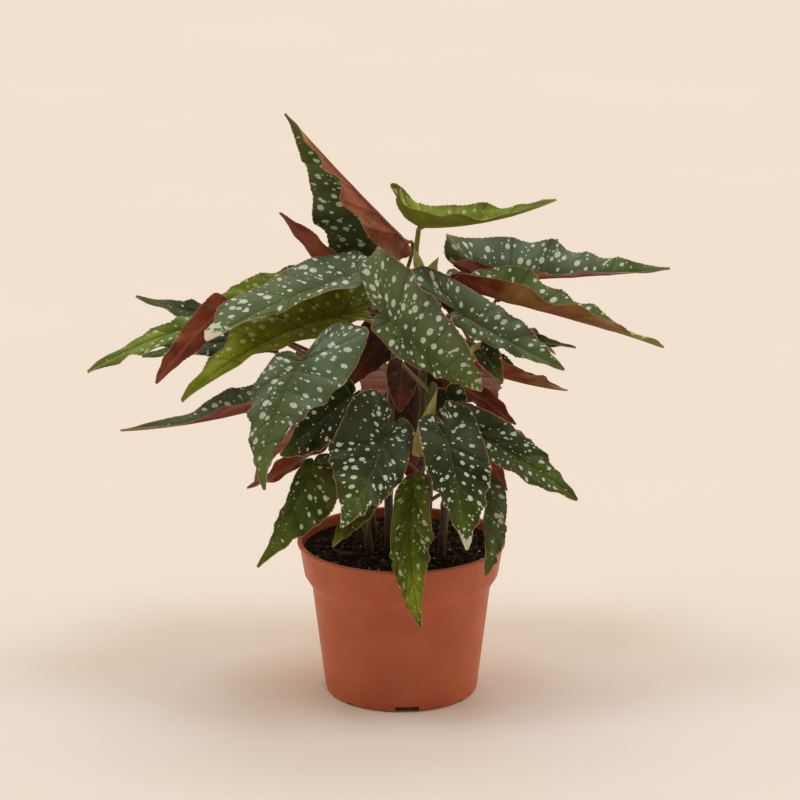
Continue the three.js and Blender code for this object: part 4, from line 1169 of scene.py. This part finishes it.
def make_blade(blade, seed):
    """The sheet as a closed shell of two skins and a rim."""
    points, value, metric, uv, quilt, t, x = blade_sheet(blade, seed)
    rows, columns = points.shape[:2]
    middle = len(COLUMN_PLACES) - 1
    index = np.arange(rows * columns).reshape(rows, columns)
    lobe_rows = np.flatnonzero(x[:, middle] == 0)
    index[lobe_rows, middle] = index[lobe_rows[-1], middle]
    faces = grid_faces(index)
    points, value, metric, uv, quilt, t, x = (
        part.reshape(rows * columns, -1) for part in (points, value, metric, uv, quilt, t, x)
    )
    points = points + normals_of(points, faces) * quilt
    normal = normals_of(points, faces)
    midrib = value[:, :1]
    half = THICKNESS / 2 * (1 - 0.6 * smooth(0.8, 1, t))
    taper = 1 - 0.75 * np.clip(x, 0, 1)
    groove = GROOVE * taper * bell(midrib, 0.9)
    rib = RIB * taper * bell(midrib, 1.1)
    shell = np.concatenate([points + normal * (half - groove), points - normal * (half + rib)])
    shell = blade.foot + SHELL_SHARE * (shell - blade.foot)
    count = rows * columns
    starts, ends = faces.ravel(), np.roll(faces, -1, axis=1).ravel()
    forth, back = starts * count + ends, ends * count + starts
    lone = ~np.isin(forth, back)
    a, b = starts[lone], ends[lone]
    rim = np.concatenate([np.stack([b, a, a + count], -1), np.stack([b, a + count, b + count], -1)])
    skins = np.concatenate([faces, faces[:, ::-1] + count, rim])
    kinds = np.repeat([0, 1, 0], [len(faces), len(faces), len(rim)])
    return shell, skins, kinds, value, metric, uv, x


triangles = 0
for number, blade in enumerate(blades):
    shell, skins, kinds, value, metric, uv, x = make_blade(blade, 100 + number)
    # Each leaf's age holds painted light and shade, and its second value is a painted sheen.
    age_and_light, painted_sheen, spot, cream_tip, cream_edge = TONES.get(blade.name, ORDINARY)
    pale = cream_tip * smooth(0.72, 1.0, x) + cream_edge * smooth(4, 0.5, value[:, 1:2])
    ages_and_light = age_and_light + FRESHER * (smooth(0.2, 1.0, x) - 0.25)
    grow = np.concatenate([ages_and_light, np.full_like(x, painted_sheen), pale], axis=1)
    cell = np.concatenate([metric, np.full_like(x, spot)], axis=1)
    values = {"blade": value, "grow": grow, "cell": cell}
    values = {key: np.tile(vectors, (2, 1)) for key, vectors in values.items()}
    slot = "leaf_young" if blade.name in YOUNG else "leaf_mature"
    add_piece(
        "blade_" + blade.name, shell, skins, [upper, lower], slot, "leaf_" + blade.name, values,
        np.tile(uv, (2, 1)), kinds, sharp=60,
    )
    triangles += len(skins)
print("blades:", len(blades), "pieces with", triangles, "triangles")

# %% [markdown]
# ## Canes, petioles and stipules
# Begonias of this kind grow as canes, like thin bamboo: smooth stems with a swollen ring where
# each leaf once sat. A leaf stalk, the petiole, leaves a ring outwards and upwards and meets
# its blade from below. Papery sheaths, the stipules, stay on some rings. Each cane with its own
# petioles and sheaths grows as one, so they are one piece. It has three finishes, and a fourth
# where a petiole is young.

# %% Cane finishes
bark_skin = Finish("cane_bark", Roughness=0.5)
fresh = bark_skin.ramp(bark_skin.parts(bark_skin.place())[2], 0.12, 0.22)
streaks = bark_skin.cloud((900, 900, 70), 4, 0.35, 0.7)
old_bark = bark_skin.mix(streaks, (0.034, 0.026, 0.010), (0.085, 0.066, 0.024))
new_bark = bark_skin.mix(streaks, (0.060, 0.070, 0.014), (0.130, 0.140, 0.034))
bark_colour = bark_skin.mix(fresh, old_bark, new_bark)
pores = bark_skin.cloud((1100, 1100, 420), 1, 0.68, 0.74)
bark_skin.paint("Base Color", bark_skin.stain(bark_colour, pores, 0.7, (0.3, 0.24, 0.15)))
bark_skin.bump(bark_skin.noise((1600, 1600, 250), 4), 0.0002, 0.7)

stalk = Finish("petiole_skin", Roughness=0.38, Specular_IOR_Level=0.5)
flush = stalk.cloud(45, 3, 0.35, 0.65)
stalk_colour = stalk.mix(flush, (0.140, 0.150, 0.030), (0.185, 0.075, 0.034))
dots = stalk.cloud(1000, 1, 0.66, 0.72)
stalk.paint("Base Color", stalk.stain(stalk_colour, dots, 0.5, (0.36, 0.30, 0.17)))
stalk.bump(stalk.noise(1400, 2), 0.0001, 0.5)

paper = Finish("stipule_paper", Roughness=0.55)
fibrous = paper.cloud((500, 500, 80), 3, 0.35, 0.65)
paper_colour = paper.mix(fibrous, (0.32, 0.37, 0.060), (0.54, 0.57, 0.17))
browned = paper.cloud(90, 2, 0.55, 0.7)
paper.paint("Base Color", paper.stain(paper_colour, browned, 0.6, (0.34, 0.19, 0.08)))
paper.bump(paper.noise((2200, 2200, 300), 2), 0.0002, 0.7)

shoot = two_tone(
    "young_petiole_skin", 0.4, (60, 2, 0.35, 0.65), (0.170, 0.230, 0.022), (0.290, 0.360, 0.050),
    (1400, 2, 0.0001, 0.5),
)
print("finishes: cane_bark, petiole_skin, stipule_paper, young_petiole_skin")

# %% Canes and petioles
CANE_DEPTH = 28
JOINT_SWELL = 0.38
PETIOLE_RADIUS = 1.2
FRESH = {"crown_young": 1.4, "left_bright": 1.15}  # green petioles, and how much thicker
PETIOLE_SEAT = 0.9
PETIOLE_DROP = 0.55
FIRST_JOINT = 96
CANE_SIDES, PETIOLE_SIDES = 16, 12
# Radius, then the points that the axis passes through, soil to top.
CANES = {
    "left": (2.4, [[-18, -14], [-25, -10, 130], [-34, -4, 190], [-31, 1, 220]]),
    "crown": (2.5, [[-7, -9], [-7, -7, 150], [-3, 1, 210], [-1, 12, 240]]),
    "young": (2.3, [[9, 3], [12, 4, 160], [13, 2, 225], [11, -1, 252]]),
    "right": (2.5, [[23, -18], [27, -15, 135], [33, -10, 185], [39, -9, 212]]),
    "front": (2.6, [[5, -30], [8, -33, 125], [15, -33, 165], [18, -28, 192]]),
    "back_left": (2.3, [[-16, 19], [-24, 25, 140], [-34, 26, 185], [-40, 26, 206]]),
    "back_right": (2.3, [[15, 22], [18, 25, 140], [22, 27, 190], [23, 27, 214]]),
}
# Cane, foot, point, width.
STIPULES = [
    ["front", [9, -35, 152], [20, -36, 190], 9],
    ["young", [12, 0, 240], [21, -4, 258], 8],
    ["young", [11, -1, 248], [7, -7, 264], 6],
    ["right", [38, -10, 200], [47, -15, 213], 8],
    ["left", [-34, -4, 195], [-27, -10, 212], 7],
    ["back_left", [-37, 26, 196], [-42, 35, 210], 7],
    ["back_right", [22, 27, 200], [29, 35, 216], 7],
]


def cane_path(points, count=90):
    """The canes stand upright in the soil: two points are straight above each other there."""
    x, y = points[0]
    return through([(x, y, SOIL_TOP - CANE_DEPTH), (x, y, SOIL_TOP + 2), *points[1:]], count)


def cane_tube(radius, points):
    """A tube whose radius swells at each joint by a narrow bell curve, with a fine groove just
    above it where the old sheath came away, a smaller swelling half-way down to the joint
    below, and a rounded top. The cane gets slimmer towards the top."""
    path = cane_path(points, 150)
    z = path[:, 2]
    swell = np.zeros_like(z)
    heights = [point[2] for point in points[1:]]
    between = [(a + b) / 2 for a, b in zip([FIRST_JOINT] + heights[:-1], heights)]
    for height in heights:
        swell += JOINT_SWELL * bell(z - height, 2.3)
        swell -= 0.10 * bell(z - height - 1.2, 0.5)
    for height in between:
        swell += 0.22 * bell(z - height, 1.8)
    top = np.sqrt(np.clip((len(z) - 1 - np.arange(len(z))) / 4, 0.02, 1))
    slimming = 1 - 0.12 * smooth(100, 240, z)
    return tube(path, radius * (1 + swell) * top * slimming, CANE_SIDES, (0, 1, 0))


def petiole_tube(blade, radius, points):
    """A Bezier curve from the cane, outwards and upwards, to the foot of the blade's midrib,
    where it arrives from below. It is widest where it leaves the cane."""
    foot, along, up, _ = (part[0] for part in blade.frame_at(np.zeros(1)))
    end = foot - up * (PETIOLE_SEAT + CLEARANCE) - along * PETIOLE_RADIUS
    path = cane_path(points, 400)
    reach = np.hypot(*(end - path[-1])[:2])
    height = blade.habit.get("from", end[2] - PETIOLE_DROP * reach - 6)
    height = np.clip(height, SOIL_TOP + 8, path[-1, 2] - 2)
    start = np.array([np.interp(height, path[:, 2], path[:, k]) for k in range(3)])
    span = np.linalg.norm(end - start)
    away = unit(np.append(unit((end - start)[:2]), 0.8))
    arrival = end - up * min(0.4 * span, blade.habit["rise"]) - along * blade.habit["lead"] * span
    u = np.linspace(0, 1, 26)[:, None]
    curve = bezier(start, start + away * 0.35 * span, arrival, end, u)
    curve = np.concatenate([curve, [foot - up * 0.75 + along * 1.5]])
    u = np.linspace(0, 1, len(curve))
    thick = PETIOLE_RADIUS * FRESH.get(blade.name, 1)
    thick = thick * (1 + 0.35 * bell(u, 0.06) - 0.18 * u)
    thick[-3:] *= (1.0, 0.95, 0.6)
    across = unit(np.cross(end - start, (0, 0, 1)))
    return tube(curve, thick, PETIOLE_SIDES, across)


print("cane paths:", len(CANES))

# %% Stipules
SHEATH_CURL = 1.1  # half the arc across a sheath's foot, in radians
SHEATH_SKIN = 0.12


def stipule(foot, point, width):
    """A sheath: across it runs an arc that flattens from 126 to 63 degrees as it rises, and its
    width follows a leaf shape, sin(pi (0.12 + 0.88 u)^0.75). It has two skins a quarter of a
    millimetre apart."""
    foot, point = np.array(foot, float), np.array(point, float)
    axis = unit(point - foot)
    foot = foot - 2 * axis
    side = unit(np.cross(axis, (0, -1, 0.3)))
    out = np.cross(side, axis)
    u = np.linspace(0.02, 1, 14)[:, None]
    a = np.linspace(-1, 1, 9)
    wide = 0.5 * width * np.sin(np.pi * (0.12 + 0.88 * u) ** 0.75) * 0.95 + 0.05
    curl = SHEATH_CURL * (1 - 0.5 * u)
    sideways = wide * np.sin(a * curl) / np.sin(curl)
    outwards = wide * (np.cos(a * curl) - np.cos(curl)) * 0.9 + 0.04 * width * u**2
    rise = u[..., None] * np.linalg.norm(point - foot) * axis
    middle = foot + rise + sideways[..., None] * side + outwards[..., None] * out
    skin = out * SHEATH_SKIN
    return closed_grid(np.concatenate([middle + skin, middle[:, ::-1] - skin], axis=1))


for name, (radius, points) in CANES.items():
    stems = [cane_tube(radius, points)]
    own = [blade for blade in blades if blade.cane == name]
    stalks = [petiole_tube(blade, radius, points) for blade in own]
    sheaths = [stipule(*row) for owner, *row in STIPULES if owner == name]
    shells = stems + stalks + sheaths
    kinds = [0] + [3 if blade.name in FRESH else 1 for blade in own] + [2] * len(sheaths)
    kinds = np.repeat(kinds, [len(faces) for _, faces in shells])
    finishes = [bark_skin, stalk, paper, shoot]
    node = "cane_" + name
    add_piece("stem_" + name, *join(shells), finishes, "cane", node, kinds=kinds, sharp=50)
    print("cane", name + ":", len(stalks), "petioles,", len(sheaths), "stipules")
